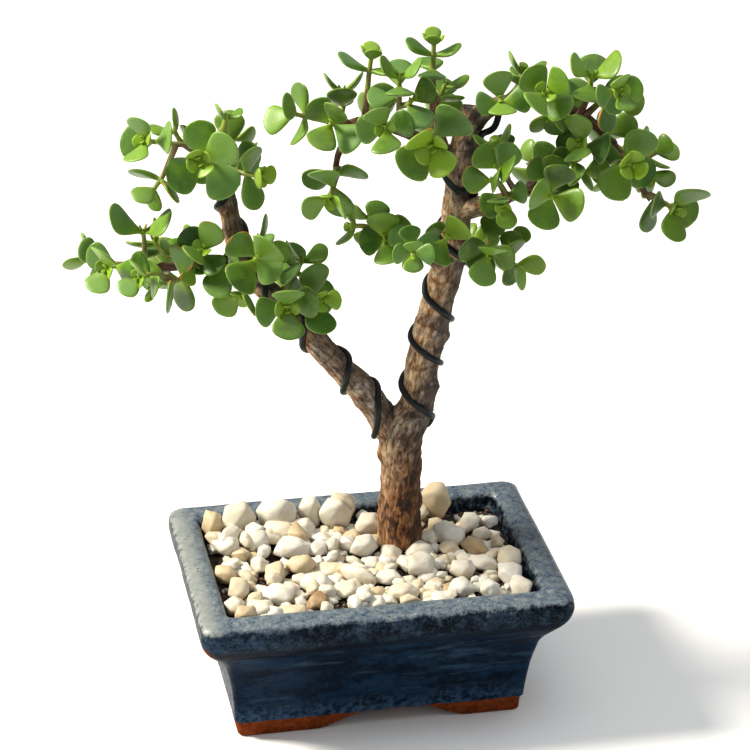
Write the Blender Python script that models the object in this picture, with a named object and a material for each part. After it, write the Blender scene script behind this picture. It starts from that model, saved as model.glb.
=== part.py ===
"""A dwarf jade bonsai: a forked tree wound with training wire, in a glazed pot of soil under marble chips.

Metres, +Z up. The origin is on the surface that the pot stands on, under the middle of the whole
plant's box. Tables of points and of shoots are in millimetres, in the tree's own frame: right, away,
and up from the soil.
"""

import math
import random
from collections import namedtuple

import bmesh
import bpy
from mathutils import Matrix, Vector
from mathutils.bvhtree import BVHTree
from mathutils.geometry import interpolate_bezier

MM = 0.001
GAP = 0.3 * MM  # between two pieces, where one rests on the other
CUT_PAST = 2 * MM  # how far a cutter runs past what it cuts
SEED = 11
CHIP_SEED = 2

# The pot: a rim that stands out over a hollow neck, straight walls, and an unglazed foot in four corners
POT_PLACE = (-4.5 * MM, -7.8 * MM)
POT_WIDTH = 153 * MM
POT_DEPTH = 104 * MM
POT_HEIGHT = 62 * MM
POT_FLOOR = 11 * MM
RIM_CORNER = 5.5 * MM
CORNER_FADE = 0.15  # how much tighter a corner is, as a share of how far in it is
LEAST_CORNER = 2 * MM
CORNER_STEPS = 3
# Each wall, from the foot up, as (how far in from the rim's edge, height) in mm
OUTER_WALL = (
    (17, 0), (16.7, 7.1), (15.6, 7.7), (14.2, 22), (12.4, 31), (9.8, 38.5),
    (2.6, 48), (0, 54.5), (0.5, 60.5), (2.5, POT_HEIGHT / MM),
)  # fmt: skip
LIP_UNDERSIDE = 60.4  # where the inner wall starts to round over
INNER_WALL = ((23, POT_FLOOR / MM), (18.5, 40), (13.5, 54), (11.7, LIP_UNDERSIDE), (9.7, POT_HEIGHT / MM))
BASE_UNDERSIDE = 6.4 * MM
FOOT_WALL = 9 * MM
ARCH_HEIGHT = 6 * MM
FRONT_ARCH = 46 * MM
SIDE_ARCH = 28 * MM
DRAIN_WIDTH = 11 * MM
DRAIN_FROM_MIDDLE = 26 * MM
DRAIN_SIDES = 12

# A plastic mesh lies over each drain hole and keeps the soil in
SCREEN_SIDE = 20 * MM
SCREEN_THICKNESS = 1.2 * MM
SCREEN_HOLE = 3.6 * MM
SCREEN_PITCH = 5.6 * MM

# The soil, and the marble chips on it
SOIL_TOP = 54 * MM
CHIP_SPACING = 11.6 * MM
CHIP_RADIUS = (7.6 * MM, 9.4 * MM)
CHIP_ROW_SHARE = 0.88  # rows are closer together than the chips in a row
CHIP_FROM_WALL = 0.65  # how far a chip's middle keeps from the wall, as a share of its radius
CHIP_CORNERS = 7
GOLDEN_ANGLE = math.radians(137.5)
CHIP_HEAP = 2.4 * MM
CHIP_BANK = 4.6 * MM  # how much higher they lie along the back, and half as much along the left
CHIP_SHAKE = 1.3 * MM
CHIP_LEAN = math.radians(20)
# Where the soil shows between the chips, as (right, away, radius) in mm from the pot's middle
BARE_SOIL = ((-17, -29, 6), (-20, -8, 5), (12, -10, 6), (-14, 23, 5), (29, -10, 4), (60, 33, 9))
# The chips that stand out, as (right, away, up, length, width, height) in mm and a turn in degrees
KEY_CHIPS = (
    (1, 10, 4.7, 14, 10, 13, 10), (-6, -13, 4.7, 20, 8, 10, -40), (10, -27, 3, 17, 14, 9, 5),
    (21, -9, 4.7, 15, 14, 13, 40), (34, -28, 3.7, 13, 11, 10, 10), (37, -15, 4.5, 12, 11, 10, 0),
    (45, -30, 3, 11, 10, 9, -60), (37, 35, 9.2, 17, 12, 19, -10), (-3, -31, 2, 13, 11, 7, -15),
    (-12, -20, 3, 14, 13, 8, 15), (-29, 14, 4.7, 19, 14, 10, 15), (-7, 33, 8.4, 16, 11, 16, 5),
    (-32, 34, 8.7, 20, 13, 18, -15), (-49, 33, 9, 18, 14, 19, 20), (6, 27, 4.7, 14, 12, 13, 0),
    (38, 13, 4.7, 17, 13, 12, -45), (49, 22, 4.7, 14, 11, 10, 60), (-41, -20, 3, 17, 14, 8, -20),
    (-50, -29, 3, 14, 13, 7, 0), (-28, -1, 4.7, 14, 11, 10, 0), (-56, -14, 3.7, 15, 12, 10, 80),
    (-60, -26, 3, 12, 11, 9, 60), (-38, -33, 2, 16, 9, 7, 0), (-25, -27, 2.5, 15, 12, 9, 60),
    (6, -14, 3, 14, 10, 7, 0), (56, -20, 3.5, 15, 13, 9, 80), (58, -31, 3, 14, 13, 9, 60),
    (59, -8, 4, 14, 13, 11, 80), (47, -9, 3.5, 15, 12, 8, 0), (-3, 36, 8.6, 13, 9, 17, 0),
    (-17, 36, 8, 13, 9, 16, 10), (-60, -3, 4.5, 11, 11, 9, 0), (-56, 19, 5.5, 15, 11, 10, -10),
    (-42, 21, 5, 14, 11, 12, 20), (-2, 21, 3, 12, 9, 6, 10), (-22, 29, 5, 14, 11, 10, 0),
    (-60, 32, 8, 12, 11, 16, 0),
)  # fmt: skip
KEY_CHIP_CLEAR = 5.4 * MM  # how far the others keep from the middle of one of these

# The tree stands right of the pot's middle and behind it, turned a little
TREE_PLACE = (18 * MM, 16 * MM)
TREE_TURN = math.radians(-12.3)
TRUNK_BEVEL = 2
LIMB_BEVEL = 1
LIMB_STEP = 12 * MM
TRUNK_HOLE = 9.8 * MM
TRUNK_HOLE_SIDES = 12
TRUNK_DEPTH = -12

# Each limb as points of (right, away, up, radius) in mm, hand-set along its middle
LIMBS = {
    "trunk": (
        (0, 0, TRUNK_DEPTH, 8.2), (0, 0, 0, 9.0), (-1, 0, 18, 8.7), (-1, 0, 38, 8.4), (-1, 0, 52, 8.9),
        (5, 0, 68, 7.4), (6, 0, 82, 6.7), (9, 1, 99, 7.0), (13, 2, 118, 6.6), (17, 3, 136, 6.3),
        (18.5, 3, 153, 6.1), (19.5, 3, 170, 5.6), (21, 3, 185, 5.4), (23, 2, 197, 4.6),
    ),
    "left": (
        (-1, 0, 50, 7.6), (-9, 0, 61, 6.3), (-18, -1, 74, 5.8), (-28, -2, 85, 5.0), (-36, -2, 95, 5.3),
        (-43, -1, 103, 5.2), (-52, 0, 112, 5.0), (-62, 3, 122, 4.8), (-68, 4, 132, 4.6), (-72, 4, 148, 4.1),
        (-75, 3, 163, 4.0), (-76, 2, 176, 2.8), (-74, 0, 187, 1.9),
    ),
    "west": (
        (-62, 3, 121, 3.8), (-69, 0, 127, 2.8), (-81, -1, 130, 2.3), (-93, -2, 128, 2.0),
        (-104, -2, 127, 1.8), (-112, 0, 128, 1.5),
    ),
    "top": ((18, 2, 168, 4.0), (12, 0, 180, 3.2), (9, 0, 192, 2.4), (7, -1, 204, 1.7)),
    "crown": (
        (12, 1, 180, 2.8), (2, -2, 186, 2.4), (-9, 0, 189, 2.1), (-19, 2, 191, 1.9), (-27, 2, 189, 1.5),
    ),
    "hang": ((-18, 1, 191, 1.9), (-25, -2, 186, 1.7), (-29, -4, 179, 1.5), (-30, -6, 173, 1.3)),
    "inner": ((15, 2, 127, 3.4), (7, -4, 136, 2.3), (-3, -6, 142, 1.9), (-13, -6, 147, 1.5)),
    "east": (
        (22, 2, 188, 4.4), (28, 2, 196, 3.8), (36, 2, 200, 3.1), (47, 2, 201, 2.6), (59, 2, 198.5, 2.3),
        (70, 0, 193, 2.1), (78, -2, 185, 1.9), (86, -3, 174, 1.7), (93, -4, 164, 1.4),
    ),
    "mid": (
        (19, 3, 152, 4.4), (26, -2, 157, 4.2), (31, -3, 158.5, 4.2), (40, -4, 163, 2.2), (49, -5, 166, 1.5),
    ),
    "south": ((17, 3, 134, 3.0), (24, 0, 136, 2.0), (30, -2, 138, 1.5)),
}  # fmt: skip

# The training wire: wound up the left limb, led round behind the fork, and wound up the right limb
WIRE_RADIUS = 1.2 * MM
WIRE_STEP = 5.6 * MM
WIRE_PASS_POINTS = 4
WIRE_SEAT = 0.45 * MM  # between the wire's points and the bark
WIRE_CLEAR = 0.2 * MM  # and at least this all along it
WIRE_ROUNDS = 12
# Its passes round each limb, as (mm along the limb, quarter turns): 0 is front, 1 left and 2 back
LEFT_PASSES = (
    (28, 3), (33, 1), (46, -1), (58, -3), (73, -5), (80, -7), (95, -9), (101, -11),
    (115, -13), (128, -15), (138, -17),
)  # fmt: skip
RIGHT_PASSES = (
    (78, -1), (90, 1), (101, 3), (111, 5), (121, 7), (133, 9), (147, 11), (158, 13),
    (173, 15), (184, 17), (195, 19),
)  # fmt: skip
# Its way behind the fork, and its end, which stands off the wood and bridges the corner to the next limb
FORK_ROUTE = (
    (-11, -7, 70), (-11.5, -9, 63), (-12.5, -5, 54.5), (-11, 4, 51), (-2, 10.5, 50), (7, 8, 53),
    (11.5, 1, 58),
)  # fmt: skip
END_ROUTE = ((29.5, -2, 188.5), (32.5, -2, 191.5), (34, -1.5, 194))

# A shoot's stem, and its leaves in crossed pairs
STEM_RADIUS = (1.5 * MM, 0.9 * MM)
STEM_EASE = 0.38  # how far a stem keeps its first direction, as a share of its reach
STEM_BARE = 4 * MM
STEM_STEPS = 41
LONG_STEM = 18 * MM
TIP_LENGTH = 1.2 * MM
INTERNODES = (0.34, 0.44, 0.5)  # between one pair and the next, as shares of the leaf's length
PAIR_LENGTHS = (None, 1.0, 1.0, 1.15)  # the first pair's share is its shoot's own
PAIR_TILTS = (44, 68, 84, 92)  # degrees that a leaf leans out from the stem
LEAF_WIDTH = 0.92
LEAF_THICKNESS = 2.7 * MM
FULL_LEAF = 13 * MM  # a shorter leaf is thinner too
LEAF_BOW = 0.07
LEAF_SECTIONS = ((0.33, 0.76), (0.74, 1.0))  # (share of the length, share of the half width)
LEAF_TIP = 0.48
LEAF_MARGIN = 0.35 * MM
LEAF_REACH = 0.62  # how far it reaches from its middle, as a share of its length
ROOT_SHARE = 0.24  # the part of a leaf that may touch its own shoot
# What a leaf tries until it clears its neighbours: degrees round the stem, degrees of lean, share of size
LEAF_TRIES = (
    (0, 0, 1), (14, 0, 1), (-14, 0, 1), (0, 12, 1), (0, -14, 1), (24, 8, 0.93), (-24, 8, 0.93),
    (26, -12, 0.88), (-26, -12, 0.88), (0, 0, 0.8), (16, 10, 0.76), (-16, 10, 0.76), (0, -10, 0.68),
)  # fmt: skip

# Each shoot as (name, what carries it, its tip, its heading, leaf pairs, leaf length in mm, degrees that
# its first pair is turned, and that pair's share of the length). A shoot that another carries is one
# piece with it.
SHOOTS = (
    ("high_face", "left", (-82, -20, 181), (-1, -9, 3), 3, 17, -60, 0.5),
    ("high_behind", "high_face", (-81, 4, 180), (-1, 1, 9), 2, 15, 20, 0.9),
    ("high_west", "left", (-104, -12, 186), (-3, -8, 4), 2, 14, 95, 0.95),
    ("high_low_west", "high_west", (-102, -6, 162), (-5, -5, -5), 2, 13, 110, 0.9),
    ("high_crest", "left", (-94, 2, 185), (-3, 0, 9), 2, 12, 0, 0.95),
    ("high_bud", "left", (-73, 0, 192), (2, 0, 10), 1, 8, 20, 1),
    ("high_east", "left", (-60, -14, 173), (8, -5, 1), 3, 14, 0, 0.65),
    ("high_back", "left", (-71, 26, 173), (3, 9, 3), 2, 14, 0, 0.8),
    ("high_back_east", "high_back", (-65, 14, 167), (6, 7, 2), 2, 13, 45, 0.8),
    ("west_rise", "west", (-106, -6, 145), (-1, -4, 8), 1, 17, 0, 1),
    ("west_end", "west", (-120, -14, 132), (-4, -9, 2), 2, 14, 70, 0.95),
    ("west_tip_back", "west_end", (-130, 4, 129), (-8, 2, 4), 2, 12, 0, 0.9),
    ("west_front", "west", (-101, -18, 127), (-9, -3, 0), 3, 15, 90, 0.55),
    ("west_drop", "west_front", (-106, -22, 132), (-3, -9, -1), 2, 12, 60, 0.95),
    ("west_inner", "west", (-82, -14, 141), (0, -6, 7), 2, 13, 50, 1),
    ("west_mid", "west", (-92, 0, 134), (-2, -3, 9), 2, 13, 30, 0.9),
    ("west_under", "west_front", (-85, -11, 132), (-1, -5, -8), 2, 12, 20, 0.8),
    ("west_back", "west", (-100, 24, 118), (-2, 9, 3), 2, 14, 0, 0.8),
    ("fork_face", "left", (-60, -26, 143), (0, -9, 2), 2, 14, 45, 1.28),
    ("fork_side", "west", (-72, -10, 132), (-6, -4, -3), 1, 15, 60, 1),
    ("fork_front", "left", (-48, -24, 121), (1, -9, 1), 2, 15, 95, 1),
    ("fork_east", "left", (-35, -16, 121), (5, -8, 2), 3, 15, 10, 0.6),
    ("fork_drop", "left", (-67, -14, 122), (-4, -5, -7), 1, 14, 20, 1),
    ("fork_crest", "left", (-43, 0, 131), (2, -2, 9), 2, 14, 20, 0.9),
    ("fork_top", "fork_crest", (-53, -8, 132), (-1, -4, 8), 2, 13, 50, 0.9),
    ("fork_west", "fork_crest", (-61, 6, 137), (-3, 2, 8), 2, 13, 0, 0.9),
    ("fork_back", "left", (-50, 26, 107), (4, 9, 1), 2, 14, 0, 0.8),
    ("crown_west", "crown", (-47, -8, 197), (-9, -3, 3), 2, 13, 0, 1),
    ("crown_west_face", "crown", (-32, -18, 197), (0, -8, 3), 2, 14, 60, 0.95),
    ("crown_rear_west", "crown_west", (-28, 8, 201), (-2, 2, 9), 2, 13, 0, 0.9),
    ("crown_spire", "crown", (-17, 4, 217), (1, 0, 9), 2, 14.5, 90, 0.6),
    ("crown_stem", "crown", (-6, -14, 216), (0, -2, 10), 3, 13, 0, 0.95),
    ("crown_front", "crown", (-11, -26, 199), (-1, -9, 1), 2, 13, 105, 1),
    ("crown_mid", "crown_stem", (-1, -16, 207), (1, -7, 6), 2, 13, 20, 0.9),
    ("crown_low_face", "top", (7, -28, 193), (0, -9, 0), 2, 19, 130, 0.74),
    ("crown_top", "top", (7, 0, 225), (0, 0, 10), 3, 13, 90, 0.55),
    ("crown_back", "crown", (-13, 26, 187), (-1, 8, 5), 2, 14, 0, 0.8),
    ("crown_back_east", "top", (11, 24, 186), (4, 8, 4), 2, 14, 40, 0.8),
    ("hang_face", "hang", (-32, -18, 166), (-2, -8, -4), 3, 14, 20, 0.9),
    ("inner_west", "inner", (-23, -10, 151), (-9, -3, -2), 1, 11, 90, 1),
    ("inner_rise", "inner_west", (-17, 2, 150), (-4, 3, 7), 2, 12, 20, 0.8),
    ("inner_top", "inner", (-10, -14, 148), (-1, -7, 3), 2, 13.5, 100, 1),
    ("inner_face", "inner", (1, -34, 150), (0, -9, 1), 4, 10, 90, 0.85),
    ("inner_behind", "inner_face", (8, -12, 144), (3, -5, 5), 2, 13, 100, 0.95),
    ("trunk_face", "trunk", (14, -20, 151), (2, -8, 3), 1, 13, 50, 1),
    ("east_first", "east", (33, -16, 208), (-1, -7, 6), 2, 12, 100, 1),
    ("east_vee", "east_first", (42, 0, 214), (0, 0, 10), 2, 11, 0, 0.95),
    ("east_face", "east", (50, -18, 212), (0, -8, 5), 2, 14, 40, 1),
    ("east_high", "east", (68, -8, 216), (0, -4, 8), 3, 14, 0, 1),
    ("east_outer", "east_high", (78, -20, 214), (3, -8, 3), 3, 11, 110, 0.9),
    ("east_shoulder", "east", (79, -8, 204), (4, -4, -6), 2, 14, 0, 0.9),
    ("east_under", "east", (53, -6, 197), (-1, -4, -8), 2, 12, 30, 0.8),
    ("east_spur", "east", (65, -12, 189), (-1, -5, 7), 2, 14, 90, 1),
    ("east_spur_west", "east_spur", (62, -14, 182), (-3, -7, 4), 2, 12, 130, 0.9),
    ("east_drop_face", "east", (84, -22, 185), (1, -9, 2), 3, 16, -30, 0.55),
    ("east_drop_low", "east", (94, 0, 171), (4, -2, -7), 2, 13, 30, 0.9),
    ("east_drop_side", "east_drop_low", (97, 2, 181), (8, 0, 4), 2, 12, 60, 0.9),
    ("east_drop_under", "east", (79, -2, 169), (-2, -3, -8), 2, 13, 30, 0.8),
    ("east_end", "east", (103, -16, 164), (5, -8, 0), 3, 14, 65, 1.12),
    ("east_back", "east", (63, 26, 190), (1, 9, 4), 2, 14, 0, 0.8),
    ("east_back_out", "east", (80, 24, 182), (5, 8, 2), 2, 14, 50, 0.8),
    ("mid_face", "mid", (54, -28, 173), (1, -9, 0), 2, 14.5, -20, 1),
    ("mid_up", "mid_face", (54, -14, 175), (0, -6, 6), 2, 13, 60, 1),
    ("mid_out", "mid", (67, -14, 177), (5, -7, 1), 2, 12, 30, 0.9),
    ("mid_inner", "mid", (33, -22, 182), (-2, -7, 4), 2, 12.5, 150, 0.95),
    ("mid_rise", "mid_inner", (32, -8, 186), (-1, -3, 8), 2, 12, 0, 0.95),
    ("mid_under", "mid", (36, -16, 164), (-1, -5, -6), 2, 12, 120, 0.9),
    ("mid_back", "mid", (50, 22, 167), (2, 9, 3), 2, 14, 30, 0.8),
    ("south_face", "south", (31, -16, 142), (0, -7, -4), 3, 13, 75, 1),
    ("south_end", "south", (43, -10, 135), (3, -8, -1), 2, 12, 0, 1.05),
    ("south_up", "south_end", (40, -2, 141), (0, -3, 8), 2, 12, 30, 0.9),
    ("south_back", "south", (27, 20, 132), (2, 9, -1), 2, 12, 45, 0.8),
    ("west_crest", "west_mid", (-103, 4, 136), (-4, 2, 8), 2, 13, 0, 0.9),
    ("crown_east", "crown_back_east", (12, 4, 206), (4, 0, 9), 2, 13, 0, 0.9),
    ("east_drop_rise", "east_back_out", (88, 8, 180), (0, 3, 9), 2, 11, 0, 0.9),
    ("mid_low", "mid_under", (30, -22, 177), (-3, -7, -1), 1, 11.5, 190, 1),
)

Chip = namedtuple("Chip", "middle halves turn lean")
Shoot = namedtuple("Shoot", "name carrier tip heading pairs leaf turn young")
Leaf = namedtuple("Leaf", "root along across face length")
Placed = namedtuple("Placed", "leaf node middle reach whole blade")


def clear_scene():
    for obj in list(bpy.data.objects):
        bpy.data.objects.remove(obj)


def make_material(name, colour, roughness):
    material = bpy.data.materials.new(name)
    material.use_nodes = True
    shader = material.node_tree.nodes["Principled BSDF"]
    shader.inputs["Base Color"].default_value = (*colour, 1)
    shader.inputs["Roughness"].default_value = roughness
    shader.inputs["Metallic"].default_value = 0
    return material


def mesh_from(name, shape):
    """A mesh from a bmesh, with its faces turned out. The bmesh is freed."""
    bmesh.ops.recalc_face_normals(shape, faces=shape.faces)
    mesh = bpy.data.meshes.new(name)
    shape.to_mesh(mesh)
    shape.free()
    return mesh


def add_object(name, mesh, collection):
    obj = bpy.data.objects.new(name, mesh)
    collection.objects.link(obj)
    return obj


def box_mesh(width, depth, low, high, place=(0, 0)):
    """A level box from one height to another."""
    shape = bmesh.new()
    middle = Matrix.Translation((*place, (low + high) / 2))
    bmesh.ops.create_cube(shape, size=1, matrix=middle @ Matrix.Diagonal((width, depth, high - low, 1)))
    return mesh_from("box", shape)


def cylinder_mesh(radius, low, high, place, sides):
    """An upright cylinder from one height to another."""
    shape = bmesh.new()
    middle = Matrix.Translation((*place, (low + high) / 2))
    size = {"radius1": radius, "radius2": radius, "depth": high - low}
    bmesh.ops.create_cone(shape, cap_ends=True, segments=sides, matrix=middle, **size)
    return mesh_from("cylinder", shape)


def loft(name, rings):
    """A closed mesh through rings of as many points each, with a flat cap on the first and on the last."""
    shape = bmesh.new()
    rows = [[shape.verts.new(point) for point in ring] for ring in rings]
    count = len(rows[0])
    for low, high in zip(rows, rows[1:]):
        for i in range(count):
            after = (i + 1) % count
            shape.faces.new((low[i], low[after], high[after], high[i]))
    shape.faces.new(rows[0])
    shape.faces.new(rows[-1])
    return mesh_from(name, shape)


def tube(name, run, bevel_resolution):
    """A capped tube along rows of (x, y, z, radius), as a mesh made from a curve."""
    curve = bpy.data.curves.new(name, "CURVE")
    curve.dimensions = "3D"
    curve.bevel_depth = 1
    curve.bevel_resolution = bevel_resolution
    curve.use_fill_caps = True
    spline = curve.splines.new("POLY")
    spline.points.add(len(run) - 1)
    for point, row in zip(spline.points, run):
        point.co = (*row.xyz, 1)
        point.radius = row.w
    guide = bpy.data.objects.new(name, curve)
    mesh = bpy.data.meshes.new_from_object(guide)
    bpy.data.objects.remove(guide)
    bpy.data.curves.remove(curve)
    shape = bmesh.new()
    shape.from_mesh(mesh)
    bpy.data.meshes.remove(mesh)
    bmesh.ops.remove_doubles(shape, verts=shape.verts, dist=0.001 * MM)
    return mesh_from(name, shape)


def smooth_run(knots, step):
    """Rows about a step apart along a smooth curve through the knots, which are Vectors of any size."""
    rows = [knots[0] * 2 - knots[1], *knots, knots[-1] * 2 - knots[-2]]
    run = []
    for before, start, end, after in zip(rows, rows[1:], rows[2:], rows[3:]):
        count = max(1, round((end - start).length / step))
        for i in range(count):
            t = i / count
            bend = (end - before) * t + (2 * before - 5 * start + 4 * end - after) * t**2
            run.append(start + 0.5 * (bend + (3 * start - before - 3 * end + after) * t**3))
    return [*run, knots[-1]]


def surface_of(mesh):
    """A search tree over the mesh's faces."""
    return BVHTree.FromPolygons([v.co for v in mesh.vertices], [p.vertices[:] for p in mesh.polygons])


def combine(body, operation, meshes):
    """Joins meshes to a body, or cuts them out of it, by one Boolean on a collection, which is removed."""
    tools = bpy.data.collections.new(body.name + "_tools")
    bpy.context.scene.collection.children.link(tools)
    for mesh in meshes:
        add_object("tool", mesh, tools)
    modifier = body.modifiers.new(operation, "BOOLEAN")
    modifier.operation = operation
    modifier.solver = "EXACT"
    modifier.operand_type = "COLLECTION"
    modifier.collection = tools
    graph = bpy.context.evaluated_depsgraph_get()
    mesh = bpy.data.meshes.new_from_object(body.evaluated_get(graph))
    body.modifiers.clear()
    body.data = mesh
    for used in list(tools.objects):
        bpy.data.objects.remove(used)
    bpy.data.collections.remove(tools)


def cut(body, mesh):
    combine(body, "DIFFERENCE", [mesh])


def fuse(name, meshes, collection):
    """One object from overlapping meshes."""
    body = add_object(name, meshes[0], collection)
    combine(body, "UNION", meshes[1:])
    return body


def drop_scraps(body):
    """Keeps the largest of a mesh's bodies, and drops any that touches none of the rest."""
    shape = bmesh.new()
    shape.from_mesh(body.data)
    left = set(shape.verts)
    groups = []
    while left:
        reach = [left.pop()]
        for vert in reach:
            for edge in vert.link_edges:
                other = edge.other_vert(vert)
                if other in left:
                    left.remove(other)
                    reach.append(other)
        groups.append(reach)
    groups.sort(key=len)
    bmesh.ops.delete(shape, geom=[vert for group in groups[:-1] for vert in group], context="VERTS")
    shape.to_mesh(body.data)
    shape.free()


def rounded_ring(inset, height):
    """A level ring of the pot, so far in from the rim's edge, with round corners."""
    half_x = POT_WIDTH / 2 - inset
    half_y = POT_DEPTH / 2 - inset
    radius = max(RIM_CORNER - CORNER_FADE * inset, LEAST_CORNER)
    ring = []
    for quarter, (side_x, side_y) in enumerate(((1, 1), (-1, 1), (-1, -1), (1, -1))):
        for step in range(CORNER_STEPS + 1):
            angle = math.radians(90 * (quarter + step / CORNER_STEPS))
            x = side_x * (half_x - radius) + radius * math.cos(angle)
            y = side_y * (half_y - radius) + radius * math.sin(angle)
            ring.append((x, y, height))
    return ring


def wall_rings(wall):
    return [rounded_ring(inset * MM, height * MM) for inset, height in wall]


def inner_inset(height):
    """How far in from the rim's edge the pot's inner wall is at this height."""
    for (low_in, low), (high_in, high) in zip(INNER_WALL, INNER_WALL[1:]):
        if height <= high * MM:
            share = (height / MM - low) / (high - low)
            return (low_in + (high_in - low_in) * share) * MM
    return INNER_WALL[-1][0] * MM


def make_pot(parts):
    """The glazed pot. Two arches that cross under it leave four corner feet."""
    pot = add_object("pot", loft("pot", wall_rings(OUTER_WALL) + wall_rings(INNER_WALL[::-1])), parts)
    foot_width = POT_WIDTH - 2 * OUTER_WALL[0][0] * MM
    foot_depth = POT_DEPTH - 2 * OUTER_WALL[0][0] * MM
    cut(pot, box_mesh(foot_width - 2 * FOOT_WALL, foot_depth - 2 * FOOT_WALL, -CUT_PAST, BASE_UNDERSIDE))
    cut(pot, box_mesh(FRONT_ARCH, POT_DEPTH, -CUT_PAST, ARCH_HEIGHT))
    cut(pot, box_mesh(POT_WIDTH, SIDE_ARCH, -CUT_PAST, ARCH_HEIGHT))
    for side in (-1, 1):
        place = (side * DRAIN_FROM_MIDDLE, 0)
        cut(pot, cylinder_mesh(DRAIN_WIDTH / 2, -CUT_PAST, POT_FLOOR + CUT_PAST, place, DRAIN_SIDES))
    return pot


def make_screen(name, side, parts):
    """A square of plastic mesh on the pot's floor, over one drain hole."""
    low = POT_FLOOR + GAP
    high = low + SCREEN_THICKNESS
    middle = side * DRAIN_FROM_MIDDLE
    screen = add_object(name, box_mesh(SCREEN_SIDE, SCREEN_SIDE, low, high, (middle, 0)), parts)
    for x in (-SCREEN_PITCH / 2, SCREEN_PITCH / 2):
        for y in (-SCREEN_PITCH / 2, SCREEN_PITCH / 2):
            spot = (middle + x, y)
            cut(screen, box_mesh(SCREEN_HOLE, SCREEN_HOLE, low - CUT_PAST, high + CUT_PAST, spot))
    return screen


def make_soil(parts):
    """The soil fills the pot, with a pocket over each screen and a plain hole for the trunk."""
    bottom = POT_FLOOR + GAP
    heights = (bottom, INNER_WALL[1][1] * MM, SOIL_TOP)
    rings = [rounded_ring(inner_inset(height) + GAP, height) for height in heights]
    soil = add_object("soil", loft("soil", rings), parts)
    pocket = SCREEN_SIDE + 2 * GAP
    for side in (-1, 1):
        place = (side * DRAIN_FROM_MIDDLE, 0)
        cut(soil, box_mesh(pocket, pocket, bottom - CUT_PAST, bottom + SCREEN_THICKNESS + GAP, place))
    hole_bottom = SOIL_TOP + TRUNK_DEPTH * MM - GAP
    cut(soil, cylinder_mesh(TRUNK_HOLE, hole_bottom, SOIL_TOP + CUT_PAST, TREE_PLACE, TRUNK_HOLE_SIDES))
    return soil


def key_chips(draw):
    """The chips that are set by hand, each leant a little to one side."""
    chips = []
    for right, away, up, length, width, height, turn in KEY_CHIPS:
        middle = Vector((right, away, SOIL_TOP / MM + up)) * MM
        halves = Vector((length, width, height)) * MM / 2
        lean = draw.uniform(-1, 1) * CHIP_LEAN / 2
        chips.append(Chip(middle, halves, math.radians(turn), lean))
    return chips


def chip_places(draw):
    """Every marble chip: those set by hand, then staggered rows that keep off them and off bare spots."""
    keys = key_chips(draw)
    half_x = POT_WIDTH / 2 - inner_inset(SOIL_TOP)
    half_y = POT_DEPTH / 2 - inner_inset(SOIL_TOP)
    rows = round(2 * half_y / (CHIP_SPACING * CHIP_ROW_SHARE))
    chips = []
    for row in range(rows):
        stagger = 0.5 * (row % 2)
        for column in range(round(2 * half_x / CHIP_SPACING) - row % 2):
            size = draw.uniform(*CHIP_RADIUS)
            x = -half_x + (column + 0.5 + stagger) * CHIP_SPACING + draw.uniform(-1, 1) * CHIP_SHAKE
            y = -half_y + (row + 0.5) * 2 * half_y / rows + draw.uniform(-1, 1) * CHIP_SHAKE
            most_x = half_x - CHIP_FROM_WALL * size
            most_y = half_y - CHIP_FROM_WALL * size
            x = max(-most_x, min(most_x, x))
            y = max(-most_y, min(most_y, y))
            up = draw.uniform(0, CHIP_HEAP) + CHIP_BANK * max(0, y / half_y, -x / half_x / 2)
            halves = size * Vector((1, draw.uniform(0.8, 1), draw.uniform(0.62, 0.8)))
            turn = draw.uniform(0, math.tau)
            lean = draw.uniform(-1, 1) * CHIP_LEAN
            near_trunk = math.dist((x, y), TREE_PLACE) < TRUNK_HOLE
            near_key = any(math.dist((x, y), key.middle.xy) < KEY_CHIP_CLEAR for key in keys)
            bare = any(math.dist((x / MM, y / MM), spot[:2]) < spot[2] for spot in BARE_SOIL)
            if not near_trunk and not near_key and not bare:
                chips.append(Chip(Vector((x, y, SOIL_TOP + up)), halves, turn, lean))
    return keys + chips


def kept_off_wall(point):
    """The point, or the nearest one to it that clears the pot's inner wall."""
    inset = inner_inset(min(point.z, LIP_UNDERSIDE * MM))
    corner = RIM_CORNER - CORNER_FADE * inset
    flat_x = POT_WIDTH / 2 - inset - corner
    flat_y = POT_DEPTH / 2 - inset - corner
    over = Vector((max(0, abs(point.x) - flat_x), max(0, abs(point.y) - flat_y)))
    if over.length > corner - GAP:
        over *= (corner - GAP) / over.length
    x = math.copysign(min(abs(point.x), flat_x) + over.x, point.x)
    y = math.copysign(min(abs(point.y), flat_y) + over.y, point.y)
    return Vector((x, y, point.z))


def chip_mesh(chip, draw):
    """One angular chip: the hull of points spread over a flattened ball, level where it meets the soil."""
    shape = bmesh.new()
    turn = Matrix.Rotation(chip.turn, 3, "Z") @ Matrix.Rotation(chip.lean, 3, "X")
    seat = SOIL_TOP + GAP + draw.uniform(0, 0.5) * MM
    for i in range(CHIP_CORNERS):
        level = 1 - (2 * i + 1) / CHIP_CORNERS
        around = i * GOLDEN_ANGLE + draw.uniform(-0.35, 0.35)
        flat = math.sqrt(1 - level**2)
        corner = Vector((flat * math.cos(around), flat * math.sin(around), level)) * chip.halves
        point = chip.middle + draw.uniform(0.94, 1.14) * (turn @ corner)
        point.z = max(point.z, seat)
        shape.verts.new(kept_off_wall(point))
    hull = bmesh.ops.convex_hull(shape, input=shape.verts)
    spare = {item for item in hull["geom_interior"] if isinstance(item, bmesh.types.BMVert)}
    bmesh.ops.delete(shape, geom=list(spare), context="VERTS")
    return mesh_from("chip", shape)


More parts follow.
